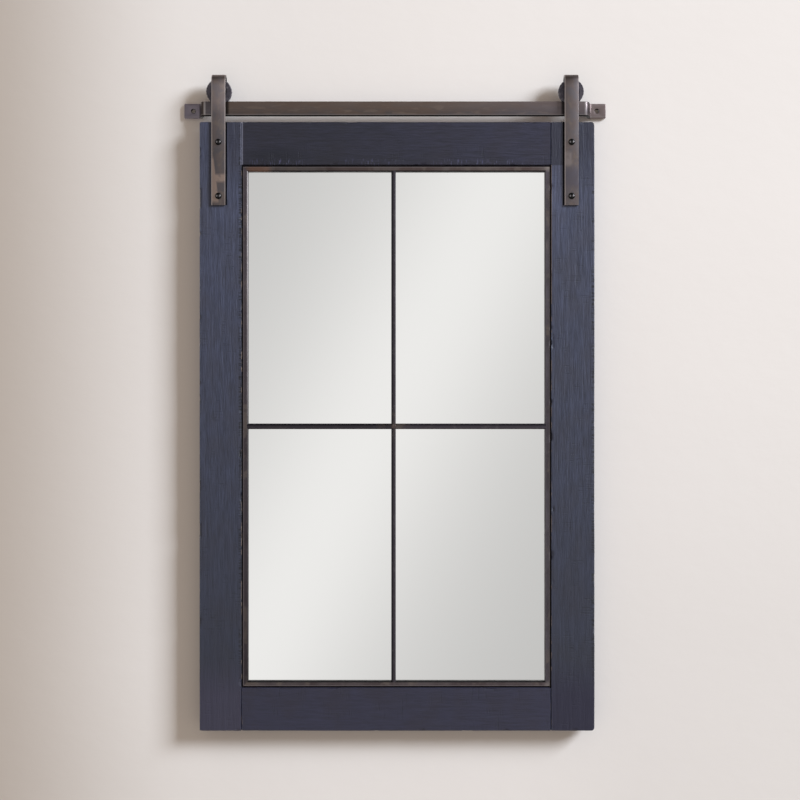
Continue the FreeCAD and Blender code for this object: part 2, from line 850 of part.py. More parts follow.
def wheels():
    """Grooved wheels that run on the track's upper edge, their rims notched all round."""
    made = []
    half = size("wheel_wide") / 2
    bore = size("axle") / 2 + size("axle_room")
    rim = WHEEL_RADIUS
    arris = size("rim_arris")
    web = half - size("web_deep")
    web_outer = size("wheel_groove") / 2 - size("web_inset")
    floor = size("track_thick") / 2 + size("groove_room")
    flank = [
        (half, bore),
        (half, size("hub") / 2),
        (web, size("hub") / 2),
        (web, web_outer),
        (half, web_outer),
        (half, rim - arris),
        (half - arris, rim),
        (floor + size("groove_flare"), rim),
        (floor, size("wheel_groove") / 2),
    ]
    other_flank = [(-across, rise) for across, rise in reversed(flank)]
    for name, side in SIDES:
        body = turned_piece(f"wheel_{name}", flank + other_flank, "YZ_Plane", "H_Axis")
        notch = new_sketch(body, "XZ_Plane", "notch")
        deep = size("notch_deep")
        draw_outline(notch, [
            (0, rim - deep),
            (size("notch_wide"), rim + deep),
            (-size("notch_wide"), rim + deep),
        ])
        feature = cut(body, notch, size("wheel_wide") + OVERRUN, both_ways=True)
        pattern = body.newObject("PartDesign::PolarPattern", f"wheel_{name}_notches")
        pattern.Originals = [feature]
        pattern.Axis = (notch, ["N_Axis"])
        pattern.Angle = FULL_TURN
        pattern.Occurrences = NOTCHES
        body.Tip = pattern
        made.append(place(body, side * HANGER_OUT, TRACK_MIDDLE, AXLE_RISE))
    return made


def axle_studs():
    """A stud seated in the front leg of each strap, which carries the wheel and ends in a nut."""
    made = []
    radius = size("axle") / 2
    front = -STRAP_HALF_GAP - size("axle_seat")
    back = STRAP_HALF_GAP + size("strap_thick") + size("nut_high") + size("axle_end")
    for name, side in SIDES:
        body = turned_piece(f"axle_stud_{name}", [
            (0, front),
            (radius, front),
            (radius, back - size("axle_chamfer")),
            (radius - size("axle_chamfer"), back),
            (0, back),
        ])
        made.append(place(body, side * HANGER_OUT, TRACK_MIDDLE, AXLE_RISE))
    return made


def wheel_washers():
    one = new_body("washer_one")
    ring = new_sketch(one, "XZ_Plane", "ring")
    draw_circle(ring, 0, 0, size("washer") / 2)
    draw_circle(ring, 0, 0, size("axle") / 2 + size("axle_room"))
    pad(one, ring, size("spacer_wide") - 2 * size("washer_room"), both_ways=True)
    out = (size("wheel_wide") + size("spacer_wide")) / 2
    places = [
        {"across": side * HANGER_OUT, "back": TRACK_MIDDLE + face * out, "rise": AXLE_RISE}
        for _, side in SIDES
        for face in (-1, 1)
    ]
    return [group("wheel_washers", one, places)]


def axle_nuts():
    one = new_body("nut_one")
    section = new_sketch(one, "XZ_Plane", "section")
    corner = size("nut_flats") / (2 * math.cos(math.pi / HEX_SIDES))
    turns = [2 * math.pi * step / HEX_SIDES for step in range(HEX_SIDES)]
    draw_outline(section, [(corner * math.cos(a), corner * math.sin(a)) for a in turns])
    draw_circle(section, 0, 0, size("axle") / 2 + size("axle_room"))
    pad(one, section, size("nut_high"), both_ways=True)
    back = TRACK_MIDDLE + STRAP_HALF_GAP + size("strap_thick") + size("nut_high") / 2
    places = [
        {"across": side * HANGER_OUT, "back": back, "rise": AXLE_RISE} for _, side in SIDES
    ]
    return [group("axle_nuts", one, places)]


def check(parts):
    """Stops if any object failed, or if a piece is empty or not valid."""
    failed = [item.Label for item in doc.Objects if {"Invalid", "Error"} & set(item.State)]
    if failed:
        raise RuntimeError(f"failed objects: {failed}")
    for part in parts:
        if part.Shape.isNull() or not part.Shape.isValid() or not part.Shape.Solids:
            raise RuntimeError(f"{part.Label} has no valid solid")


def export(parts):
    os.makedirs("parts", exist_ok=True)
    for part in parts:
        part.Shape.exportStep(f"parts/{part.Label}.step")
        print(part.Label, len(part.Shape.Solids), round(part.Shape.Volume))


BUILDERS = [
    track_bar, stiles, rails, corner_dowels, window_bars, muntins, mirror_glass, backing_board,
    retainer_clips, clip_screws, bumpers, hanger_straps, strap_screws, wheels, axle_studs,
    wheel_washers, axle_nuts,
]
parts = [part for build in BUILDERS for part in build()]
doc.recompute()
check(parts)
export(parts)
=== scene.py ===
import math

import bmesh
import bpy
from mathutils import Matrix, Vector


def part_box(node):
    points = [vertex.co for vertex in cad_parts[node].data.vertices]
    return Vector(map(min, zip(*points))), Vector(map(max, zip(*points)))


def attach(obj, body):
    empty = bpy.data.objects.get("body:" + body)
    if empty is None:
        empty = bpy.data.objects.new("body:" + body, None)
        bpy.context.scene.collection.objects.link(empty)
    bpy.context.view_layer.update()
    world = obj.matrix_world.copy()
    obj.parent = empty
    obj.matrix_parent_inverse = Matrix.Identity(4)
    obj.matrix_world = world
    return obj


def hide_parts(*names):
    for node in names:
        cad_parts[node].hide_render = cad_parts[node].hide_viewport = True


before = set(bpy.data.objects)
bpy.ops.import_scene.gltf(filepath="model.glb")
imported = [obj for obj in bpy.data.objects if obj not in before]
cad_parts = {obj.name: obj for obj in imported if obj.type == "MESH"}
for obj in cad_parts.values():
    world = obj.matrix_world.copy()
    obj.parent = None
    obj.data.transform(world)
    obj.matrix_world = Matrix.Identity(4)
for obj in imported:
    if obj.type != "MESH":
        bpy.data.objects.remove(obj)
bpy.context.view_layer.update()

bl_info = {
    "name": "Sliding Door Wall Mirror",
    "version": (1, 0, 0),
    "blender": (4, 5, 0),
    "location": "View3D > Sidebar > Mirror",
    "description": "Dresses a wall mirror that hangs by straps and wheels from a flat track",
    "category": "Add Mesh",
}

# The boxes that the pieces share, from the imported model, in metres. The wall is the plane y = 0,
# the front looks along -Y, and the origin lies midway between the track's two wall holes.
TRACK_LOW, TRACK_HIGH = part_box("track_bar")
STRAP_LOW, STRAP_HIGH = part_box("hanger_strap_left")
STILE_LEFT_LOW, STILE_LEFT_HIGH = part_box("stile_left")
STILE_RIGHT_LOW, STILE_RIGHT_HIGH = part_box("stile_right")
SASH_LOW, SASH_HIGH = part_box("window_bar_left")
SASH_TOP_LOW, SASH_TOP_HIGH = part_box("window_bar_top")
GLASS_LOW, GLASS_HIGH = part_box("mirror_glass")
UPRIGHT_LOW, UPRIGHT_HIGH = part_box("muntin_vertical")
LEVEL_LOW, LEVEL_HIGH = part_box("muntin_left")
CROSSING_X = (UPRIGHT_LOW[0] + UPRIGHT_HIGH[0]) / 2
CROSSING_Z = (LEVEL_LOW[2] + LEVEL_HIGH[2]) / 2
OPENING_TOP, OPENING_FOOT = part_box("rail_top")[0][2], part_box("rail_bottom")[1][2]

# Stretches of x or z over which a finish passes from one side or end of the object to the other
TO_RIGHT_HALF = (0.0, 0.1)
LEFT_TO_RIGHT = (-0.1, 0.1)
FOOT_TO_TOP = (-0.6, -0.5)

# The camera stands where the photograph's did, as near as its outlines tell
CAMERA_PLACE = (0.0085, -2.836, -0.4964)
CAMERA_LENS = 74.12


def length(label, text, default):
    return bpy.props.FloatProperty(
        name=label, description=text, default=default, min=0.0, unit="LENGTH", subtype="DISTANCE",
    )


def linear(hex_colour):
    """Turns an sRGB hex colour into the linear colour that Blender works with."""
    channels = [int(hex_colour[i:i + 2], 16) / 255 for i in (1, 3, 5)]
    return [c / 12.92 if c <= 0.04045 else ((c + 0.055) / 1.055) ** 2.4 for c in channels]


def colour(label, text, hex_colour):
    return bpy.props.FloatVectorProperty(
        name=label, description=text, size=4, min=0.0, max=1.0, subtype="COLOR",
        default=(*linear(hex_colour), 1.0),
    )


class BoardSettings(bpy.types.PropertyGroup):
    rabbet: length("Rabbet", "Width of the step behind the opening", 0.010)
    lip: length("Lip", "Wood left in front of the rabbet", 0.0075)
    round_left: length("Left corners", "Rounding of the two left corners", 0.002)
    round_right: length("Right corners", "Rounding of the two right corners", 0.0055)
    grid: length("Surface grid", "Size of the faces that carry the saw marks", 0.002)
    relief: length("Saw relief", "Depth of the sawn surface", 0.0003)
    chip: length("Chips", "Depth of the chips along the edges", 0.0014)
    paint: colour("Paint", "Navy paint of the upright boards", "#2D3142")
    paint_level: colour("Paint on the rails", "Older, browner navy of the level boards", "#27273B")
    bare_wood: colour("Bare wood", "Wood that shows where the paint is chipped", "#75665B")


class TrackSettings(bpy.types.PropertyGroup):
    thick: length("Thickness", "Thickness of the flat bar", 0.006)
    bend: length("Bend", "Radius at the middle of the bar's thickness", 0.005)
    lean: length("Lean", "How far the sloping part leans outwards", 0.0059)
    straight: length("Straight", "Half the length of the straight part", 0.3235)
    hole: length("Hole", "Diameter of the wall holes", 0.007)
    hole_inset: length("Hole inset", "From the bar's end to the hole's centre", 0.0155)
    corner: length("Corner", "Rounding of the tabs' corners", 0.0017)
    edge: length("Edge", "Rounding of the rolled edges", 0.001)
    steel: colour("Steel", "Brown steel of the track", "#5C4F4A")


class StrapSettings(bpy.types.PropertyGroup):
    thick: length("Thickness", "Thickness of the strap", 0.0035)
    crown: length("Crown", "Half of the flat on top of the bend", 0.001)
    edge: length("Edge", "Rounding of the long edges", 0.0006)
    steel: colour("Steel", "Grey-brown steel of the straps", "#756A69")


class SashSettings(bpy.types.PropertyGroup):
    steel: colour("Steel", "Blackened steel of the glazing bars", "#443F44")
    face: length("Face", "Width of the bars round the mirror", 0.0084)
    half_wide: length("Half width", "Half of the window frame's width", 0.261)
    half_high: length("Half height", "Half of the window frame's height", 0.442)
    bead: length("Weld bead", "Width of the weld where the bars cross", 0.008)


class MirrorSettings(bpy.types.PropertyGroup):
    arris: length("Arris", "Ground edge of the glass", 0.0005)
    silver: colour("Silver", "Tint of the silvered glass", "#FCFCFB")
    backing: colour("Backing", "Paint on the back of the mirror", "#5E6A70")


class StageSettings(bpy.types.PropertyGroup):
    wall: colour("Wall", "Off-white plaster", "#F1EDEA")
    floor: colour("Floor", "Pale floor", "#CFCCC8")
    floor_height: bpy.props.FloatProperty(
        name="Floor height", description="Height of the floor", default=-1.6, unit="LENGTH",
    )
    key_power: bpy.props.FloatProperty(
        name="Key light", description="Power of the window light", default=3310.0, unit="POWER",
    )
    fill_power: bpy.props.FloatProperty(
        name="Rear fill", description="Power of the lamp at the back", default=110.0, unit="POWER",
    )
    ambient: bpy.props.FloatProperty(
        name="Ambient", description="Strength of the room light", default=0.40, min=0.0,
    )


class WallMirrorSettings(bpy.types.PropertyGroup):
    boards: bpy.props.PointerProperty(type=BoardSettings)
    track: bpy.props.PointerProperty(type=TrackSettings)
    straps: bpy.props.PointerProperty(type=StrapSettings)
    sash: bpy.props.PointerProperty(type=SashSettings)
    mirror: bpy.props.PointerProperty(type=MirrorSettings)
    stage: bpy.props.PointerProperty(type=StageSettings)


# Modelling helpers

def deselect_all():
    if bpy.context.object and bpy.context.object.mode != "OBJECT":
        bpy.ops.object.mode_set(mode="OBJECT")
    for obj in bpy.context.selected_objects:
        obj.select_set(False)


def settle(name):
    """Puts the new object's place and size into its mesh and names it."""
    bpy.ops.object.transform_apply(location=True, rotation=True, scale=True)
    obj = bpy.context.object
    obj.name = obj.data.name = name
    return obj


def block(name, low, high):
    """Adds a box between two corners."""
    deselect_all()
    middle = [(a + b) / 2 for a, b in zip(low, high)]
    bpy.ops.mesh.primitive_cube_add(size=1, location=middle)
    bpy.context.object.scale = [b - a for a, b in zip(low, high)]
    return settle(name)


def plane(name, middle, wide, high, turn=0.0):
    """Adds a flat rectangle, turned about X."""
    deselect_all()
    bpy.ops.mesh.primitive_plane_add(size=1, location=middle)
    bpy.context.object.rotation_euler = (turn, 0, 0)
    bpy.context.object.scale = (wide, high, 1)
    return settle(name)


def upright_strip(name, low, high):
    """Adds an upright flat strip along X, to be drawn out and thickened."""
    middle = [(a + b) / 2 for a, b in zip(low, high)]
    return plane(name, middle, high[0] - low[0], high[2] - low[2], math.pi / 2)


def pick(obj, kind, test):
    """Enters edit mode with those edges or points selected that pass a test."""
    bpy.context.view_layer.objects.active = obj
    if obj.mode != "EDIT":
        bpy.ops.object.mode_set(mode="EDIT")
    bpy.ops.mesh.select_mode(type=kind)
    bpy.ops.mesh.select_all(action="DESELECT")
    mesh = bmesh.from_edit_mesh(obj.data)
    if kind == "EDGE":
        for edge in mesh.edges:
            edge.select_set(test(*[vert.co for vert in edge.verts]))
    else:
        for vert in mesh.verts:
            vert.select_set(test(vert.co))
    mesh.select_flush_mode()
    bmesh.update_edit_mesh(obj.data)


def near(a, b):
    return abs(a - b) < 1e-5


def draw_out(value):
    bpy.ops.mesh.extrude_region_move(TRANSFORM_OT_translate={"value": value})


def swing(angle, centre, axis):
    """Draws the selection out round an axis, anticlockwise when seen against the axis."""
    bpy.ops.mesh.spin(steps=10, angle=-angle, center=centre, axis=axis)


def modify(obj, kind, **settings):
    """Adds a modifier and applies it at once."""
    bpy.context.view_layer.objects.active = obj
    if obj.mode != "OBJECT":
        bpy.ops.object.mode_set(mode="OBJECT")
    modifier = obj.modifiers.new(kind.title(), kind)
    for key, value in settings.items():
        setattr(modifier, key, value)
    bpy.ops.object.modifier_apply(modifier=modifier.name)


def cut_away(obj, cutter):
    modify(obj, "BOOLEAN", operation="DIFFERENCE", object=cutter, solver="EXACT")
    bpy.data.objects.remove(cutter)


def recalculate(obj):
    """Merges doubled points and turns every face outwards."""
    pick(obj, "VERT", lambda p: True)
    bpy.ops.mesh.remove_doubles(threshold=1e-6)
    bpy.ops.mesh.normals_make_consistent(inside=False)


def corners(obj):
    """The lowest and the highest corner of a mesh."""
    points = [vert.co for vert in obj.data.vertices]
    return [[extreme(p[axis] for p in points) for axis in range(3)] for extreme in (min, max)]


def select(obj):
    deselect_all()
    obj.select_set(True)
    bpy.context.view_layer.objects.active = obj


def fit(obj, low, high):
    """Scales a finished piece, so that it fills its box and no more."""
    select(obj)
    least, greatest = corners(obj)
    obj.scale = [(b - a) / (d - c) for a, b, c, d in zip(low, high, least, greatest)]
    obj.location = [a - c * s for a, c, s in zip(low, least, obj.scale)]
    bpy.ops.object.transform_apply(location=True, rotation=True, scale=True)


def smooth(obj, angle):
    select(obj)
    bpy.ops.object.shade_smooth_by_angle(angle=math.radians(angle))


def soften(obj, width, segments):
    """Rounds the edges that turn sharply and shades the rest smooth."""
    sharp = math.radians(50)
    modify(obj, "BEVEL", width=width, segments=segments, limit_method="ANGLE", angle_limit=sharp)
    smooth(obj, 35)


def paint(obj, material):
    obj.data.materials.clear()
    obj.data.materials.append(material)


def dress(obj, body, slot, material, *nodes):
    """Sets a finished piece on its body, in place of the nodes that it stands for."""
    paint(obj, material)
    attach(obj, body)
    if nodes:
        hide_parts(*nodes)


# Materials

def new_material(name):
    material = bpy.data.materials.new(name)
    material.use_nodes = True
    material.node_tree.nodes.clear()
    return material, material.node_tree


def add_node(tree, kind, inputs=None, **settings):
    """Adds a node with its settings. An input is a value or the socket that it is linked from."""
    node = tree.nodes.new(kind)
    for key, value in settings.items():
        setattr(node, key, value)
    for key, value in (inputs or {}).items():
        if isinstance(value, bpy.types.NodeSocket):
            tree.links.new(value, node.inputs[key])
        else:
            node.inputs[key].default_value = value
    return node


def pattern(tree, scale, shift=(0, 0, 0), **inputs):
    """Noise on object coordinates, whose grain along each axis is given in metres."""
    place = add_node(tree, "ShaderNodeTexCoord")
    room = add_node(tree, "ShaderNodeMapping", {
        "Vector": place.outputs["Object"], "Location": shift, "Scale": [1 / size for size in scale],
    })
    values = {"Vector": room.outputs[0], "Scale": 1.0}
    values.update({key.title(): value for key, value in inputs.items()})
    return add_node(tree, "ShaderNodeTexNoise", values).outputs[0]


def tree_of(*values):
    """The tree of the first socket among some values."""
    return next(value.id_data for value in values if isinstance(value, bpy.types.NodeSocket))


def remap(value, low, high, bottom=0.0, top=1.0):
    return add_node(value.id_data, "ShaderNodeMapRange", {
        "Value": value, "From Min": low, "From Max": high, "To Min": bottom, "To Max": top,
    }).outputs[0]


def fall(value, low, high):
    """One below the first level and nothing above the second."""
    return remap(value, low, high, 1.0, 0.0)


def figure(operation, *values):
    return add_node(
        tree_of(*values), "ShaderNodeMath", dict(enumerate(values)), operation=operation,
    ).outputs[0]


def times(first, *others):
    for other in others:
        first = figure("MULTIPLY", first, other)
    return first


def most(first, *others):
    for other in others:
        first = figure("MAXIMUM", first, other)
    return first


def apart(first, second):
    return figure("ABSOLUTE", figure("SUBTRACT", first, second))


def squares(first, second):
    """The sum of two squares."""
    return figure("MULTIPLY_ADD", first, first, times(second, second))


def blend(share, first, second):
    """Mixes two colours: sockets, hex or linear ones. A share of one gives the second."""
    values = {"Factor": share}
    for index, value in ((6, first), (7, second)):
        if isinstance(value, str):
            value = linear(value)
        values[index] = value if isinstance(value, bpy.types.NodeSocket) else (*value[:3], 1)
    node = add_node(tree_of(share, first, second), "ShaderNodeMix", values, data_type="RGBA")
    return node.outputs[2]


def lay(shade, *layers):
    """Lays colours over a shade in turn. A layer is a colour and shares, whose product it gets."""
    for top, *shares in layers:
        shade = blend(times(*shares), shade, top)
    return shade


def finish_material(height, depth, **inputs):
    """Ends a material in one Principled shader, bumped to a depth in metres."""
    tree = height.id_data
    values = {key.replace("_", " "): value for key, value in inputs.items()}
    bump = add_node(tree, "ShaderNodeBump", {"Height": height, "Distance": depth})
    values["Normal"] = bump.outputs[0]
    shader = add_node(tree, "ShaderNodeBsdfPrincipled", values)
    add_node(tree, "ShaderNodeOutputMaterial", {"Surface": shader.outputs[0]})


def position(tree):
    """The x, y and z of the object coordinates, in metres."""
    place = add_node(tree, "ShaderNodeTexCoord")
    return add_node(tree, "ShaderNodeSeparateXYZ", {"Vector": place.outputs["Object"]}).outputs


def scaled(shade, factor):
    """Makes a colour lighter or darker by a factor that may vary."""
    return add_node(
        shade.id_data, "ShaderNodeVectorMath", {0: shade, "Scale": factor}, operation="SCALE",
    ).outputs[0]


def from_edge(value, edge, width):
    """Falls from one at an edge to nothing at a width from it."""
    return fall(apart(value, edge), width * 0.5, width)


def span(value, low, high, soft):
    """One between two levels and nothing outside them, with soft ends."""
    return times(remap(value, low - soft, low + soft), fall(value, high - soft, high + soft))


def torn_fibres(tree, x, z, upright):
    """Nicks along the edges of the stiles, and in three places at the top rail's foot."""
    if upright:
        nicks = pattern(tree, (0.02, 0.02, 0.0022), detail=1.0, shift=(2, 7, 5))
        rims = [from_edge(x, edge, 0.007) for edge in (STILE_RIGHT_HIGH[0], STILE_LEFT_HIGH[0])]
        where = remap(pattern(tree, (0.2, 0.2, 0.03), shift=(1, 2, 6)), 0.36, 0.5)
        return times(remap(nicks, 0.5, 0.55), most(*rims), where)
    nicks = pattern(tree, (0.0019, 0.02, 0.012), detail=1.0, shift=(2, 7, 5))
    where = [span(x, *place) for place in (
        (-0.24, -0.155, 0.015), (0.07, 0.235, 0.03), (-0.085, 0.005, 0.02),
    )]
    rim = from_edge(z, OPENING_TOP, 0.013)
    return times(remap(nicks, 0.59, 0.67), rim, most(*where))


def paint_light_and_stain_on_stiles(shade, x, z):
    """The stiles carry painted light, lighter towards the top, and the rails' stain on their ends.
    """
    right = remap(x, *TO_RIGHT_HALF)
    # painted light: the stiles are scaled lighter towards the top
    shade = scaled(shade, remap(z, -1.06, -0.03, 0.66, 1.95))
    # the right stile is palest beside its strap, just below the rail
    pale = times(fall(x, 0.284, 0.292), right, remap(z, -0.24, OPENING_TOP, 0.0, 0.6))
    shade = scaled(shade, figure("ADD", pale, 1.0))
    # the stain ends sharply between the right joint and strap, and softly elsewhere
    sharp = remap(z, OPENING_TOP - 0.0015, OPENING_TOP + 0.0005)
    sharp = times(sharp, span(x, 0.0, 0.3, 0.001), 0.9)
    soft = times(
        remap(z, OPENING_TOP - 0.05, OPENING_TOP + 0.03), remap(x, -0.33, -0.28, 0.15, 0.55),
        remap(x, *TO_RIGHT_HALF, 1.0, 1.2),
    )
    low_end = remap(z, OPENING_FOOT - 0.015, OPENING_FOOT + 0.05, 0.9, 0.0)
    return lay(shade, ("#1D1D2D", most(sharp, soft)), (blend(right, "#333143", "#1E1C32"), low_end))


def wear_rails(shade, x, z):
    """The top rail pales to the right, and its stain has pooled near the left end of its foot."""
    aged = remap(x, -0.1, 0.25, 0.6, 1.05)
    shade = scaled(shade, most(aged, remap(z, *FOOT_TO_TOP, 0.95, 0.0)))
    aside = figure("DIVIDE", figure("ADD", x, 0.202), 0.054)
    below = figure("DIVIDE", figure("ADD", z, 0.083), 0.018)
    shade = lay(shade, ("#0E0F20", remap(squares(aside, below), 0.2, 1.3, 0.85, 0.0)))
    dim = remap(z, OPENING_TOP, OPENING_TOP + 0.03, 0.78, 1.0)
    return scaled(shade, most(dim, fall(z, *FOOT_TO_TOP)))


def paint_light_on_joints(shade, x, z, front):
    """Lighter colour laid over the joints between the boards, painted light that fills in the shade
    of their crevices, pale on the upper left one.
    """
    joints = [from_edge(x, edge, 0.0024) for edge in (STILE_LEFT_HIGH[0], STILE_RIGHT_LOW[0])]
    ends = most(
        remap(z, OPENING_TOP, OPENING_TOP + 0.001), fall(z, OPENING_FOOT - 0.001, OPENING_FOOT),
    )
    corner = times(fall(x, -0.1, 0.0), remap(z, *FOOT_TO_TOP))
    return lay(shade, (blend(corner, "#2E3042", "#84869A"), most(*joints), ends, front, 0.7))


def navy_paint(name, base, bare, upright):
    """Thin satin paint, brushed over rough-sawn softwood.

    The brush leaves streaks of lighter and darker navy along the grain. The bandsaw leaves faint
    marks across it, and the edges wear through to the wood.
    """
    material, tree = new_material(name)
    x, y, z = position(tree)
    front = fall(y, STILE_LEFT_LOW[1] + 0.003, STILE_LEFT_LOW[1] + 0.005)

    def grain(wide, long, **more):
        return pattern(tree, (wide, wide, long) if upright else (long, wide, wide), **more)

    def tinted(factor):
        return [c * factor for c in base]

    # brush streaks about 3 mm wide and 50 mm long, with finer ones of 1.4 mm among them
    streaks = grain(0.003, 0.05, detail=2.0, roughness=0.6)
    fine = grain(0.0014, 0.02, detail=2.0, roughness=0.7, shift=(3, 1, 7))
    tone = remap(figure("MULTIPLY_ADD", streaks, 0.5, times(fine, 0.5)), 0.36, 0.64)
    # they are smoother towards the foot
    calm = remap(z, -0.85, -0.62, 0.38, 0.0)
    tone = figure("MULTIPLY_ADD", figure("SUBTRACT", 0.5, tone), calm, tone)
    shade = blend(tone, tinted(0.64), tinted(1.38))
    # patches 50 mm across where the paint lies thicker and browner
    cloudy = pattern(tree, (0.04, 0.04, 0.06), detail=3.0, shift=(9, 2, 4))
    browner = [c * factor for c, factor in zip(base, (0.95, 0.78, 0.62))]
    shade = lay(shade, (browner, remap(cloudy, 0.42, 0.66, 0.0, 0.4)))
    # saw marks every 2 mm in some places, on the top rail only at its foot
    sawn = grain(0.03, 0.0022, detail=1.0, shift=(1, 5, 2))
    where = remap(pattern(tree, (0.022, 0.022, 0.03), shift=(4, 4, 8)), 0.52, 0.62)
    if not upright:
        where = times(where, fall(z, OPENING_TOP + 0.02, OPENING_TOP + 0.04))
    marks = times(remap(sawn, 0.56, 0.66), where)
    shade = lay(shade, (tinted(0.35), marks, 0.35))
    nicks = torn_fibres(tree, x, z, upright)
    shine = 0.5
    if upright:
        shade = paint_light_and_stain_on_stiles(lay(shade, (tinted(0.1), nicks, 0.9)), x, z)
        # painted shadow, black, along each strap's inner side, and painted shade darkening the
        # inner rim of the left stile
        beside = times(
            from_edge(figure("ABSOLUTE", x), -STRAP_HIGH[0] - 0.0011, 0.0016),
            remap(z, STRAP_LOW[2], STRAP_LOW[2] + 0.001), front,
        )
        rim = from_edge(x, STILE_LEFT_HIGH[0], 0.0022)
        rim_ends = span(z, OPENING_FOOT, OPENING_TOP, 0.001)
        shade = lay(shade, ("#000000", beside), (tinted(0.1), rim, rim_ends, 0.75))
        shine = figure("MULTIPLY_ADD", beside, -0.5, 0.5)
    else:
        shade = lay(wear_rails(shade, x, z), (tinted(3.2), nicks, 0.75))
    # painted light over the joints, against the shade in their crevices
    shade = paint_light_on_joints(shade, x, z, front)
    # bare wood where the stiles' inner edges are knocked, and all along the right one's upper part
    knocks = remap(pattern(tree, (0.004, 0.004, 0.015), detail=3.0, shift=(6, 0, 3)), 0.56, 0.6)
    upper_part = remap(z, -0.335, -0.331)
    right = times(from_edge(x, STILE_RIGHT_LOW[0], 0.0015), most(knocks, upper_part))
    left = times(from_edge(x, STILE_LEFT_HIGH[0], 0.0014), knocks)
    below_rail = remap(z, OPENING_TOP + 0.001, OPENING_TOP, 0.0, 0.7)
    shade = lay(shade, (bare, most(left, right), below_rail))
    finish_material(
        figure("MULTIPLY_ADD", most(marks, nicks), -0.6, tone), 0.00025,
        Base_Color=shade, Roughness=remap(fine, 0.3, 0.7, 0.42, 0.6), IOR=1.5,
        Specular_IOR_Level=shine,
    )
    return material


def steel_shade(tree, base, tint, worn, brush, patch):
    """Scale of two colours in clouds, paler where it is rubbed, with fine scratches."""
    sheen = pattern(tree, patch, detail=4.0, roughness=0.62, distortion=0.6)
    rubs = pattern(tree, [s * 0.45 for s in patch], detail=3.0, shift=(5, 3, 1), distortion=0.4)
    scratches = pattern(tree, brush, detail=2.0, roughness=0.7, shift=(2, 8, 6))
    shade = lay(
        blend(remap(sheen, 0.42, 0.58), base, tint),
        (worn, remap(rubs, 0.56, 0.66, 0.0, 0.6)), (worn, remap(scratches, 0.55, 0.7, 0.0, 0.25)),
    )
    return shade, sheen, scratches


def end_steel(shade, sheen, scratches, rough=0.42):
    finish_material(
        scratches, 0.00006, Base_Color=shade, Metallic=0.85,
        Roughness=remap(sheen, 0.35, 0.65, rough - 0.07, rough + 0.09),
    )


def oiled_steel(name, base, tint, worn, brush, patch):
    """Hot-rolled steel under a rubbed patina: brown and blue-grey scale, paler where handled."""
    material, tree = new_material(name)
    shade, sheen, scratches = steel_shade(tree, base, tint, worn, brush, patch)
    end_steel(shade, sheen, scratches, 0.45)
    return material


def simple_finish(name, base, rough, vary, metallic=0.0, grain=0.0008, **more):
    """An even factory finish, with a slight mottle and orange peel."""
    material, tree = new_material(name)
    fine = pattern(tree, (grain,) * 3, detail=2.0)
    broad = pattern(tree, (grain * 14,) * 3, detail=2.0, shift=(3, 3, 3))
    darker, lighter = [[c * factor for c in base] for factor in (1 - vary, 1 + vary)]
    shade = blend(remap(broad, 0.3, 0.7), darker, lighter)
    finish_material(
        fine, 0.00004, Base_Color=shade, Metallic=metallic,
        Roughness=remap(broad, 0.3, 0.7, rough * 0.85, rough * 1.15), **more,
    )
    return material


# Operators, one for each group of pieces

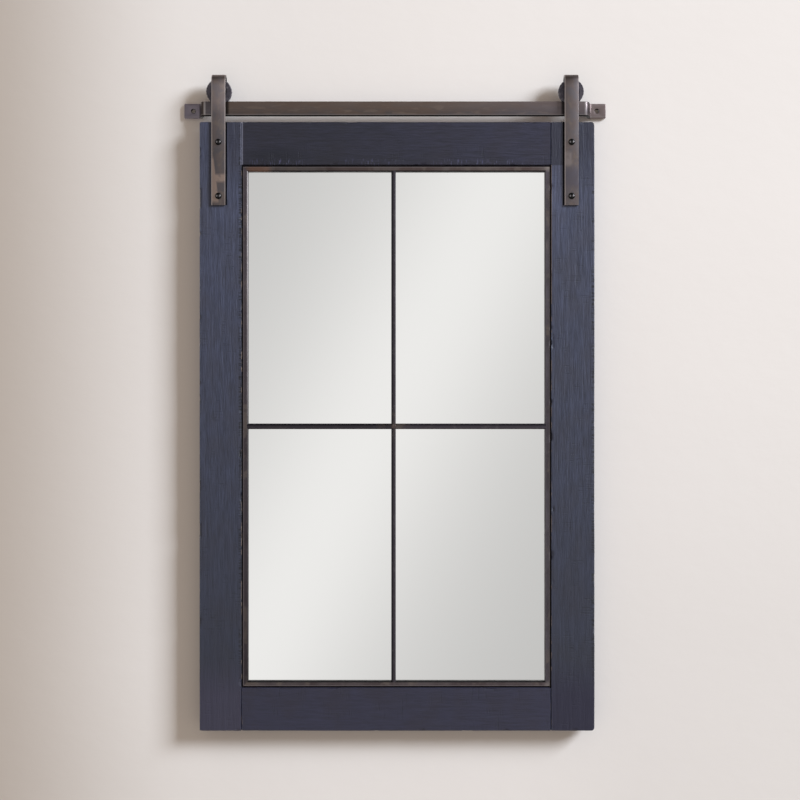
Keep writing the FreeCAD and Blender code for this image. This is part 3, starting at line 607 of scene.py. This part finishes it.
class WALLMIRROR_OT_stage(bpy.types.Operator):
    """Sets up the plaster wall, the pale floor, the two lights and the camera"""
    bl_idname = "wallmirror.stage"
    bl_label = "Stage"

    def execute(self, context):
        settings = context.scene.wall_mirror.stage
        self.wall(settings)
        self.floor(settings)
        self.light(context, settings)
        self.room(context, settings)
        camera = bpy.data.objects.new("photo_camera", bpy.data.cameras.new("photo_camera"))
        camera.data.lens = CAMERA_LENS
        camera.data.sensor_width = 36
        camera.location = CAMERA_PLACE
        camera.rotation_euler = (math.pi / 2, 0, 0)
        context.scene.collection.objects.link(camera)
        context.scene.camera = camera
        context.scene.view_settings.view_transform = "Standard"
        return {"FINISHED"}

    def wall(self, settings):
        gap = 0.0006  # keeps the wall clear of the tabs' rear faces
        wall = plane("plaster_wall", (0, gap, 0), 5.2, 3.2, math.pi / 2)
        material, tree = new_material("Brushed plaster")
        x, _, z = position(tree)
        trowel = pattern(tree, (0.05, 0.05, 0.03), detail=4.0, roughness=0.55)
        cloudy = pattern(tree, (0.4, 0.4, 0.5), detail=1.0)
        # painted shade: the wall is darker towards the left
        fade = remap(x, -0.78, -0.33)
        fade.node.interpolation_type = "SMOOTHSTEP"
        dusk = [c * share for c, share in zip(settings.wall, (0.58, 0.53, 0.48))]
        shade = blend(fade, dusk, settings.wall)
        shade = lay(shade, ("#D8D0C8", remap(cloudy, 0.3, 0.7, 0.0, 0.06)))
        # and painted a little darker towards the floor
        corner = times(remap(x, 0.2, 0.42), remap(z, -0.9, -0.45, 0.055, 0.0))
        shade = scaled(shade, figure("SUBTRACT", 1.0, corner))
        low_end = times(fall(z, -1.15, -0.95), remap(x, -0.45, -0.15, 0.13, 0.03))
        shade = lay(shade, (dusk, low_end))
        # painted light: it is lightest at the upper right
        lit = times(remap(x, -0.2, 0.1), remap(z, -0.55, -0.15, 0.0, 0.03))
        shade = scaled(shade, figure("ADD", lit, 1.0))
        bump = add_node(tree, "ShaderNodeBump", {
            "Height": trowel, "Distance": 0.0012, "Strength": 0.3,
        }).outputs[0]
        plaster = add_node(tree, "ShaderNodeBsdfDiffuse", {"Color": shade, "Normal": bump})
        clear = add_node(tree, "ShaderNodeBsdfTransparent")
        side = add_node(tree, "ShaderNodeNewGeometry")
        # from behind the wall is clear, so that the object's back shows
        mix = add_node(tree, "ShaderNodeMixShader", {
            0: side.outputs["Backfacing"], 1: plaster.outputs[0], 2: clear.outputs[0],
        })
        add_node(tree, "ShaderNodeOutputMaterial", {"Surface": mix.outputs[0]})
        paint(wall, material)
        wall.visible_diffuse = wall.visible_shadow = False

    def floor(self, settings):
        floor = plane("pale_floor", (0, -1.1, settings.floor_height), 5.2, 3.6)
        paint(floor, simple_finish("Matt floor", settings.floor[:3], 0.7, grain=0.004, vary=0.02))
        floor.visible_diffuse = False

    def light(self, context, settings):
        """A broad window to the upper right, and a lamp that only lights the object's back."""
        toward = (0.757, -0.470, 0.455)
        distance = 16.0
        window = [m + distance * t for m, t in zip((0.05, 0, -0.5), toward)]
        facing = (math.acos(toward[2]), 0, math.atan2(toward[0], -toward[1]))
        rear_facing = (math.radians(-71), 0, math.radians(-26.6))
        for name, size, power, tint, place, turn in (
            ("window_light", 5.3, settings.key_power, (0.872, 0.928, 1.0), window, facing),
            ("rear_fill", 2.5, settings.fill_power, (1.0, 1.0, 1.0), (-1.6, 3.2, 0.6), rear_facing),
        ):
            area = bpy.data.lights.new(name, "AREA")
            area.shape = "SQUARE"
            area.size = size
            area.energy = power
            area.color = tint
            lamp = bpy.data.objects.new(name, area)
            lamp.location = place
            lamp.rotation_euler = turn
            context.scene.collection.objects.link(lamp)

    def room(self, context, settings):
        """Even room light. Metal and mirror see a pale room with a darker ceiling."""
        world = bpy.data.worlds.new("Room")
        context.scene.world = world
        world.use_nodes = True
        tree = world.node_tree
        tree.nodes.clear()
        path = add_node(tree, "ShaderNodeLightPath")
        ray = add_node(tree, "ShaderNodeTexCoord").outputs["Generated"]
        parts = add_node(tree, "ShaderNodeSeparateXYZ", {"Vector": ray}).outputs
        # straight ahead a light band crosses the room from the upper right to the lower left
        ahead = most(figure("ABSOLUTE", parts[1]), 0.05)
        level = figure("DIVIDE", parts[0], ahead)
        rise = figure("DIVIDE", parts[2], ahead)
        slope, shift, width, peak, ground = -0.533, 0.007, 0.095, 0.376, 0.481
        off_band = figure("MULTIPLY_ADD", rise, slope, figure("ADD", level, shift))
        spread = figure("POWER", figure("DIVIDE", off_band, width), 2.0)
        band = figure("DIVIDE", peak, figure("ADD", spread, 1.0))
        seen = figure("ADD", band, ground)
        above = remap(parts[2], 0.2, 0.8, 1.0, 0.25)
        below = remap(parts[2], -0.25, -0.9, 1.0, 0.6)
        seen = times(seen, times(above, below))
        glossy, soft, plain = [
            add_node(tree, "ShaderNodeBackground", {"Color": (*tint, 1), "Strength": power})
            for tint, power in (
                ((1.0, 0.992, 0.98), seen), ((1.0, 0.863, 0.747), settings.ambient),
                (linear("#F3F1EE"), 1.0),
            )
        ]
        mirrored = most(path.outputs["Is Glossy Ray"], path.outputs["Is Transmission Ray"])
        surface = soft.outputs[0]
        for share, shader in ((mirrored, glossy), (path.outputs["Is Camera Ray"], plain)):
            surface = add_node(tree, "ShaderNodeMixShader", {
                0: share, 1: surface, 2: shader.outputs[0],
            }).outputs[0]
        add_node(tree, "ShaderNodeOutputWorld", {"Surface": surface})


class WALLMIRROR_OT_boards(bpy.types.Operator):
    """Four rough-sawn boards, brushed with navy paint and knocked at the edges"""
    bl_idname = "wallmirror.boards"
    bl_label = "Boards"

    def execute(self, context):
        settings = context.scene.wall_mirror.boards
        bare = settings.bare_wood[:3]
        upright = navy_paint("Navy paint, upright grain", settings.paint[:3], bare, True)
        level = navy_paint("Navy paint, level grain", settings.paint_level[:3], bare, False)
        step = settings.rabbet
        for node, outer, radius in (
            ("stile_left", STILE_LEFT_LOW[0], settings.round_left),
            ("stile_right", STILE_RIGHT_HIGH[0], settings.round_right),
            ("rail_top", None, None), ("rail_bottom", None, None),
        ):
            low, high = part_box(node)
            board = block(f"board_{node}", low, high)
            if radius:
                pick(board, "EDGE", lambda a, b: (
                    near(a.x, outer) and near(b.x, outer) and near(a.z, b.z)
                ))
                bpy.ops.mesh.bevel(offset=radius, segments=5, affect="EDGES")
            cutter = block(
                "rabbet_cutter",
                (STILE_LEFT_HIGH[0] - step, low[1] + settings.lip, OPENING_FOOT - step),
                (STILE_RIGHT_LOW[0] + step, 0.001, OPENING_TOP + step),
            )
            cut_away(board, cutter)
            self.roughen(board, settings, bool(radius))
            fit(board, low, high)
            dress(board, "panel", "navy_paint_on_wood", upright if radius else level, node)
        return {"FINISHED"}

    def roughen(self, board, settings, upright):
        """Lays an even grid over the board and sinks saw marks and chips into it."""
        modify(board, "REMESH", mode="VOXEL", voxel_size=settings.grid)
        guide = bpy.data.objects.new("grain_guide", None)
        bpy.context.scene.collection.objects.link(guide)
        for label, depth, across, along, low, high in (
            ("saw", settings.relief, 0.006, 0.12, 0.25, 0.6),
            ("knock", settings.chip, 0.012, 0.03, 0.28, 0.36),
        ):
            guide.scale = (across, across, along) if upright else (along, across, across)
            bpy.context.view_layer.update()
            texture = bpy.data.textures.new(f"{label}_marks", "CLOUDS")
            texture.noise_scale = 1.0
            texture.use_color_ramp = True
            for element, place, tone in zip(texture.color_ramp.elements, (low, high), (0, 1)):
                element.position = place
                element.color = (tone, tone, tone, 1)
            if label == "knock":
                self.mark_edges(board, upright)
            modify(
                board, "DISPLACE", texture=texture, texture_coords="OBJECT",
                texture_coords_object=guide, direction="NORMAL", strength=depth, mid_level=1.0,
                vertex_group="edges" if label == "knock" else "",
            )
        bpy.data.objects.remove(guide)
        smooth(board, 50)

    def mark_edges(self, board, upright):
        """Gathers the points along the front edges in a group, but not those along the joints."""
        low, high = corners(board)
        depth, joint, clear, reach = 0.0035, 0.004, 0.003, 0.0025

        def on_edge(p):
            if p.y > low[1] + depth:
                return False
            if min(abs(p.x - STILE_LEFT_HIGH[0]), abs(p.x - STILE_RIGHT_LOW[0])) < joint:
                return OPENING_FOOT + clear < p.z < OPENING_TOP - clear and upright
            return min(p.x - low[0], high[0] - p.x, p.z - low[2], high[2] - p.z) < reach

        pick(board, "VERT", on_edge)
        bpy.ops.object.vertex_group_add()
        board.vertex_groups.active.name = "edges"
        bpy.context.scene.tool_settings.vertex_group_weight = 1.0
        bpy.ops.object.vertex_group_assign()


class WALLMIRROR_OT_sash(bpy.types.Operator):
    """The steel window frame with its glazing bars and the weld where they cross"""
    bl_idname = "wallmirror.sash"
    bl_label = "Window frame"

    def execute(self, context):
        settings = context.scene.wall_mirror.sash
        for node, *look in (
            ("window_bar_top", "#564947", "#625957", "#111011", 2, 0.92, 1.2),
            ("window_bar_bottom", "#4A4143", "#585052", "#1B191A", 2, 0.9, 1.25),
            ("window_bar_left", "#453E43", "#4C454A", "#969090", 0, 0.6, 1.35),
            ("window_bar_right", "#4B454A", "#585258", "#716C70", 0, 0.95, 1.15),
        ):
            paint(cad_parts[node], self.bar(settings, node, *look))
        for node, *look in (
            ("muntin_vertical", 0, 1, 0.92), ("muntin_left", 2, -1, 0.76),
            ("muntin_right", 2, -1, 1.1),
        ):
            paint(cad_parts[node], self.muntin(settings, node, *look))
        self.weld(settings)
        return {"FINISHED"}

    def bar(self, settings, node, base, tint, edge, axis, start, end):
        """Bronzed steel with painted light along both edges, that pales slowly from one end to the
        other.
        """
        material, tree = new_material(f"Bronzed steel, {node.replace('_', ' ')}")
        shade, sheen, scratches = steel_shade(
            tree, base, tint, "#6E645E", (0.002,) * 3, (0.06, 0.03, 0.06),
        )
        place = position(tree)
        middle_x = (SASH_TOP_LOW[0] + SASH_TOP_HIGH[0]) / 2
        middle_z = (SASH_LOW[2] + SASH_HIGH[2]) / 2
        low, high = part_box(node)
        run = 2 - axis
        shade = scaled(shade, remap(place[run], low[run], high[run], start, end))
        # painted light along both edges: beside the glass pale on some bars and dark on others,
        # beside the boards a painted highlight
        half = settings.half_high if axis else settings.half_wide
        out = apart(place[axis], middle_z if axis else middle_x)
        inside = half - settings.face
        if node == "window_bar_left":
            edge = blend(remap(place[2], -0.64, -0.24), "#383435", edge)
        shade = lay(
            shade, (edge, fall(out, inside + 0.0015, inside + 0.0024), 0.9),
            ("#8A8183", remap(out, half - 0.0018, half - 0.0008), 0.6),
        )
        if node == "window_bar_top":
            # a rusty patch beside the left corner, then darker scale
            shade = lay(shade, ("#85604C", span(place[0], -0.25, -0.213, 0.005), 0.45))
            dark = span(place[0], -0.207, -0.1, 0.01)
            shade = scaled(shade, figure("MULTIPLY_ADD", dark, -0.2, 1.0))
        # the right corners are rubbed bare, the upper one most
        aside = figure("SUBTRACT", place[0], middle_x + settings.half_wide)
        for level, share in ((settings.half_high, 0.75), (-settings.half_high, 0.4)):
            away = figure("SQRT", squares(aside, figure("SUBTRACT", place[2], middle_z + level)))
            shade = lay(shade, ("#A79D99", remap(away, 0.003, 0.011, share, 0.0)))
        # painted shade: the flange behind the face is painted dark where it shows in the crack
        # beside the boards
        behind = remap(place[1], SASH_LOW[1] + 0.0015, SASH_LOW[1] + 0.0025)
        end_steel(lay(shade, ("#2E292B", behind)), sheen, scratches)
        return material

    def muntin(self, settings, node, axis, sign, level):
        """Blued steel, black along one side, with brown and straw heat colours near the weld."""
        material, tree = new_material(f"Blackened steel, {node.replace('_', ' ')}")
        shade, sheen, scratches = steel_shade(
            tree, settings.steel, "#423D43", "#544F52", (0.002,) * 3, (0.03,) * 3,
        )
        low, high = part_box(node)
        side = times(figure("SUBTRACT", position(tree)[axis], (low[axis] + high[axis]) / 2), sign)
        place = add_node(tree, "ShaderNodeTexCoord").outputs["Object"]
        away = add_node(
            tree, "ShaderNodeVectorMath", {0: place, 1: (CROSSING_X, LEVEL_LOW[1], CROSSING_Z)},
            operation="DISTANCE",
        ).outputs["Value"]
        shade = lay(
            shade, ("#242127", remap(side, -0.0012, 0.0002, 0.75, 0.0)),
            ("#75695C", fall(away, 0.006, 0.03), remap(sheen, 0.4, 0.6), 0.7),
        )
        end_steel(scaled(shade, level), sheen, scratches, 0.5)
        return material

    def weld(self, settings):
        """The ground bead where the glazing bars cross."""
        deselect_all()
        bpy.ops.mesh.primitive_ico_sphere_add(
            subdivisions=4, radius=settings.bead / 2,
            location=(CROSSING_X, UPRIGHT_LOW[1], CROSSING_Z),
        )
        bpy.context.object.scale = (1.0, 0.12, 0.95)
        bead = settle("crossing_weld")
        ripple = bpy.data.textures.new("weld_ripple", "CLOUDS")
        ripple.noise_scale = 0.0016
        modify(
            bead, "DISPLACE", texture=ripple, texture_coords="LOCAL", strength=0.0009,
            mid_level=0.6,
        )
        smooth(bead, 60)
        dress(bead, "panel", "aged_steel", oiled_steel(
            "Ground weld", "#5F524F", "#4E4340", "#766A64", (0.001,) * 3, (0.004,) * 3,
        ))


class WALLMIRROR_OT_mirror(bpy.types.Operator):
    """The silvered glass with its ground edge, and the hardboard behind it"""
    bl_idname = "wallmirror.mirror"
    bl_label = "Mirror"

    def execute(self, context):
        settings = context.scene.wall_mirror.mirror
        pane = block("mirror_pane", GLASS_LOW, GLASS_HIGH)
        modify(pane, "BEVEL", width=settings.arris, segments=1, limit_method="ANGLE")
        material, tree = new_material("Silvered float glass")
        drift = pattern(tree, (0.3, 0.3, 0.4), detail=1.0)
        finish_material(drift, 0.00002, Base_Color=settings.silver, Metallic=1.0, Roughness=0.03)
        edge = simple_finish("Ground glass edge", linear("#6F9688"), 0.35, vary=0.1, IOR=1.52)
        back = simple_finish("Mirror backing paint", settings.backing[:3], 0.6, vary=0.1)
        dress(pane, "panel", "mirror", material, "mirror_glass")
        for extra in (edge, back):
            pane.data.materials.append(extra)
        for face in pane.data.polygons:
            face.material_index = 0 if face.normal.y < -0.99 else 2 if face.normal.y > 0.99 else 1
        board, tree = new_material("Tempered hardboard")
        # pressed wood fibre: brown, smooth, with short darker fibres about 3 mm long
        fibres = pattern(tree, (0.003, 0.003, 0.0012), detail=4.0, roughness=0.7)
        broad = pattern(tree, (0.08,) * 3, detail=2.0)
        shade = blend(remap(fibres, 0.35, 0.65), "#5C4027", "#86643F")
        shade = lay(shade, ("#6A4C30", remap(broad, 0.3, 0.7, 0.0, 0.35)))
        finish_material(fibres, 0.0001, Base_Color=shade, Roughness=0.55)
        paint(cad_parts["backing_board"], board)
        return {"FINISHED"}


class WALLMIRROR_OT_track(bpy.types.Operator):
    """The flat steel track, joggled back to the wall at both ends"""
    bl_idname = "wallmirror.track"
    bl_label = "Track"

    def execute(self, context):
        settings = context.scene.wall_mirror.track
        half = settings.thick / 2
        front, back = TRACK_LOW[1] + half, TRACK_HIGH[1] - half
        turn = math.atan2(back - front, settings.lean)
        bend = settings.bend
        bar = upright_strip(
            "track_rail", (0, front, TRACK_LOW[2]), (settings.straight, front, TRACK_HIGH[2]),
        )
        end = settings.straight
        pick(bar, "EDGE", lambda a, b: near(a.x, end) and near(b.x, end))
        swing(turn, (end, front + bend, 0), (0, 0, 1))
        trim = bend * math.tan(turn / 2)
        run = math.hypot(settings.lean, back - front) - 2 * trim
        draw_out((run * math.cos(turn), run * math.sin(turn), 0))
        heel = end + 2 * trim + settings.lean
        swing(-turn, (heel, back - bend, 0), (0, 0, 1))
        draw_out((TRACK_HIGH[0] - heel, 0, 0))
        pick(bar, "VERT", lambda p: near(p.x, TRACK_HIGH[0]))
        bpy.ops.mesh.bevel(offset=settings.corner, segments=5, affect="VERTICES")
        modify(bar, "MIRROR", use_axis=(True, False, False), merge_threshold=1e-5)
        recalculate(bar)
        modify(bar, "SOLIDIFY", thickness=settings.thick, offset=0.0, use_even_offset=True)
        for side in (-1, 1):
            deselect_all()
            bpy.ops.mesh.primitive_cylinder_add(
                vertices=40, radius=settings.hole / 2, depth=0.03,
                location=(side * (TRACK_HIGH[0] - settings.hole_inset), back, 0),
                rotation=(math.pi / 2, 0, 0),
            )
            cut_away(bar, settle("hole_cutter"))
        soften(bar, settings.edge, 3)
        dress(bar, "track", "track_steel", self.steel(settings), "track_bar")
        return {"FINISHED"}

    def steel(self, settings):
        """Brown along the top, blue-grey below, with painted shade under the edge and beside the
        straps and painted highlights on the bends and the lower edge.
        """
        material, tree = new_material("Oiled steel track")
        shade, sheen, scratches = steel_shade(
            tree, settings.steel, "#504B4C", "#766960", (0.03, 0.0009, 0.0009), (0.05, 0.02, 0.011),
        )
        x, _, z = position(tree)
        low, end, bore = TRACK_LOW[2], settings.straight, settings.hole / 2
        shade = lay(shade, ("#7E6C62", remap(z, low, TRACK_HIGH[2]), 0.75))
        shade = scaled(shade, remap(x, -0.3, 0.1, 0.93, 1.0))
        away = figure("ABSOLUTE", x)
        tab = remap(away, 0.3325, 0.3345)
        from_hole = squares(figure("SUBTRACT", away, TRACK_HIGH[0] - settings.hole_inset), z)
        shade = lay(
            shade,
            ("#726E7A", remap(x, 0.05, 0.3, 0.0, 0.35)),
            (blend(remap(x, *LEFT_TO_RIGHT), "#8D8592", "#857674"), tab, 0.7),
            # painted shade, near-black, beside the straps' inner sides, and a blue-grey tone on the
            # stretch between the left strap and the bend
            ("#141213", from_edge(away, -STRAP_HIGH[0], 0.006), 0.8),
            ("#5C5C66", span(x, -end, STRAP_LOW[0], 0.001), 0.55),
            # a painted highlight on the bend, painted shade on the slope behind it, and a painted
            # highlight along the lower edge
            ("#B5AEAD", from_edge(away, end + 0.0012, 0.0022), remap(x, *LEFT_TO_RIGHT, 0.75, 0.3)),
            ("#2A2426", from_edge(away, end + 0.0075, 0.005), 0.75),
            ("#8C8483", from_edge(z, low + 0.0027, 0.001), 0.5),
            # painted shade: black inside the drilled holes, and along the bottom of the face and
            # the underside between the tabs
            ("#0B0A0A", fall(figure("SQRT", from_hole), bore + 0.0004, bore + 0.0008)),
            ("#080707", fall(z, low + 0.0014, low + 0.0019), fall(tab, 0.0, 1.0)),
        )
        end_steel(shade, sheen, scratches, 0.38)
        return material


class WALLMIRROR_OT_straps(bpy.types.Operator):
    """Two steel straps, bent back over the wheels, and their black screws"""
    bl_idname = "wallmirror.straps"
    bl_label = "Hanger straps"

    def execute(self, context):
        settings = context.scene.wall_mirror.straps
        half = settings.thick / 2
        low, high = STRAP_LOW, STRAP_HIGH
        front, back = low[1] + half, high[1] - half
        reach = (back - front) / 2 - settings.crown
        bend_rise = high[2] - half - reach
        axle = sum(corner[2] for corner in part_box("wheel_left")) / 2
        foot = axle - (high[0] - low[0]) / 2
        strap = upright_strip("strap", (low[0], back, foot), (high[0], back, bend_rise))
        pick(strap, "EDGE", lambda a, b: near(a.z, bend_rise) and near(b.z, bend_rise))
        middle = (low[0] + high[0]) / 2
        swing(math.pi / 2, (middle, back - reach, bend_rise), (1, 0, 0))
        draw_out((0, -2 * settings.crown, 0))
        swing(math.pi / 2, (middle, front + reach, bend_rise), (1, 0, 0))
        draw_out((0, 0, low[2] - bend_rise))
        pick(strap, "VERT", lambda p: near(p.z, foot) and near(p.y, back))
        bpy.ops.mesh.bevel(offset=(high[0] - low[0]) / 2 - 0.001, segments=8, affect="VERTICES")
        recalculate(strap)
        modify(strap, "SOLIDIFY", thickness=settings.thick, offset=0.0, use_even_offset=True)
        soften(strap, settings.edge, 2)
        steel = self.steel(settings)
        other = strap.copy()
        other.data = strap.data.copy()
        context.scene.collection.objects.link(other)
        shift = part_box("hanger_strap_right")[0][0] - low[0]
        for vert in other.data.vertices:
            vert.co.x += shift
        for piece, side in ((strap, "left"), (other, "right")):
            piece.name = piece.data.name = f"strap_{side}"
            dress(piece, "panel", "strap_steel", steel, f"hanger_strap_{side}")
        paint(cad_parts["strap_screws"], self.screw())
        return {"FINISHED"}

    def screw(self):
        """Black screws, with grey painted highlights on both sides of an upright slot."""
        material, tree = new_material("Blackened screws")
        x, _, z = position(tree)
        middle = -(STRAP_LOW[0] + STRAP_HIGH[0]) / 2
        low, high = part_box("strap_screws")
        radius = (high[0] + low[0]) / 2 + high[0] - middle
        aside = figure("SUBTRACT", apart(figure("ABSOLUTE", x), middle), radius * 0.45)
        up = figure("MINIMUM", apart(z, high[2] - radius), apart(z, low[2] + radius))
        out = figure("SQRT", squares(aside, up))
        # painted highlights: grey on both sides of the slot
        shade = blend(remap(out, radius * 0.14, radius * 0.34, 0.9, 0.0), "#0F0E0F", "#A5A1A3")
        grit = pattern(tree, (0.0008,) * 3, detail=2.0)
        finish_material(grit, 0.00004, Base_Color=shade, Metallic=0.7, Roughness=0.4)
        return material

    def steel(self, settings):
        """Grey-brown, with pale edges that are partly rubbed wear and partly painted highlight,
        patches of dried oil, and painted shade on the sides, the rear leg and the top of the bend.
        """
        material, tree = new_material("Rubbed steel straps")
        shade, sheen, scratches = steel_shade(
            tree, settings.steel, "#6C6669", "#80746D", (0.0012, 0.0012, 0.05), (0.02, 0.02, 0.03),
        )
        x, y, z = position(tree)
        left = fall(x, -0.001, 0.001)
        right = remap(x, -0.001, 0.001)
        # the left strap is pale over the wheel and dull below the track
        dull = times(remap(z, -0.075, -0.02, 0.78, 1.0), remap(z, -0.012, 0.012, 0.95, 1.45))
        shade = scaled(shade, blend(left, (1.0, 1.0, 1.0), dull))
        worn = remap(pattern(tree, (0.012,) * 3, detail=2.0, shift=(8, 1, 2)), 0.3, 0.45, 0.4, 1.0)
        slant = figure("MULTIPLY_ADD", z, 0.12, x)
        strip = times(span(z, -0.16, -0.084, 0.003), fall(slant, -0.3197, -0.3175))
        normal = add_node(tree, "ShaderNodeNewGeometry").outputs["Normal"]
        parts = add_node(tree, "ShaderNodeSeparateXYZ", {"Vector": normal})
        sideways = figure("ABSOLUTE", parts.outputs[0])
        shade = lay(
            shade,
            # the right one is dull near its foot, and both carry painted shade, dark brown, on top
            # of the bend
            ("#625E68", span(z, -0.136, -0.103, 0.006), right, 0.8),
            ("#43362F", remap(z, 0.038, 0.05), 0.6),
            # oil has dried in patches: tan at the left strap's foot, grey midway on the right one
            ("#96847B", most(span(z, -0.126, -0.113, 0.002), strip), left, worn),
            ("#897F7E", span(z, -0.098, -0.075, 0.003), fall(x, 0.298, 0.302), right, worn),
            # pale lines along the long edges: partly rubbed wear, partly painted highlight
            *(("#BDB0AC", from_edge(x, edge, 0.002), share) for edge, share in (
                (STRAP_LOW[0], 0.75), (STRAP_HIGH[0], 0.5),
                (-STRAP_HIGH[0], 0.7), (-STRAP_LOW[0], 0.1),
            )),
            # painted shade: the sheared sides and the leg behind the wheel are painted near-black
            ("#1E1816", most(remap(sideways, 0.7, 0.9), remap(y, -0.03, -0.026)), 0.9),
        )
        end_steel(shade, sheen, scratches)
        return material


class WALLMIRROR_OT_wheels(bpy.types.Operator):
    """Grooved wheels with notched rims, their studs, washers and nuts"""
    bl_idname = "wallmirror.wheels"
    bl_label = "Wheels"

    def execute(self, context):
        steel = oiled_steel(
            "Cast steel wheels", "#5A555D", "#4C4850", "#7E7980", (0.001,) * 3, (0.012,) * 3,
        )
        for node in ("wheel_left", "wheel_right"):
            paint(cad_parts[node], steel)
        # zinc plate: pale grey, with a fine spangle
        zinc = simple_finish(
            "Zinc plate", linear("#A9A8A4"), 0.36, metallic=1.0, grain=0.0006, vary=0.14,
        )
        for node in (
            "axle_stud_left", "axle_stud_right", "wheel_washers", "axle_nuts",
            "retainer_clips", "clip_screws", "bumper_screws",
        ):
            paint(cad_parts[node], zinc)
        paint(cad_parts["wall_bumpers"], simple_finish(
            "Moulded black rubber", linear("#28282A"), 0.75, grain=0.0012, vary=0.12,
        ))
        dowel, tree = new_material("Bare beech dowel")
        flecks = pattern(tree, (0.02, 0.0008, 0.0008), detail=3.0)
        shade = blend(remap(flecks, 0.35, 0.65), "#B9925F", "#D3B384")
        finish_material(flecks, 0.00005, Base_Color=shade, Roughness=0.6)
        paint(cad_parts["corner_dowels"], dowel)
        return {"FINISHED"}


class WALLMIRROR_PT_panel(bpy.types.Panel):
    bl_label = "Wall Mirror"
    bl_idname = "WALLMIRROR_PT_panel"
    bl_space_type = "VIEW_3D"
    bl_region_type = "UI"
    bl_category = "Mirror"

    def draw(self, context):
        for operator in OPERATORS:
            self.layout.operator(operator.bl_idname)


OPERATORS = (
    WALLMIRROR_OT_stage, WALLMIRROR_OT_boards, WALLMIRROR_OT_sash, WALLMIRROR_OT_mirror,
    WALLMIRROR_OT_track, WALLMIRROR_OT_straps, WALLMIRROR_OT_wheels,
)
CLASSES = (
    BoardSettings, TrackSettings, StrapSettings, SashSettings, MirrorSettings, StageSettings,
    WallMirrorSettings, *OPERATORS, WALLMIRROR_PT_panel,
)


def register():
    for item in CLASSES:
        bpy.utils.register_class(item)
    bpy.types.Scene.wall_mirror = bpy.props.PointerProperty(type=WallMirrorSettings)


def unregister():
    del bpy.types.Scene.wall_mirror
    for item in reversed(CLASSES):
        bpy.utils.unregister_class(item)


def main():
    register()
    bpy.ops.wallmirror.stage()
    bpy.ops.wallmirror.boards()
    bpy.ops.wallmirror.sash()
    bpy.ops.wallmirror.mirror()
    bpy.ops.wallmirror.track()
    bpy.ops.wallmirror.straps()
    bpy.ops.wallmirror.wheels()


if __name__ == "__main__":
    main()
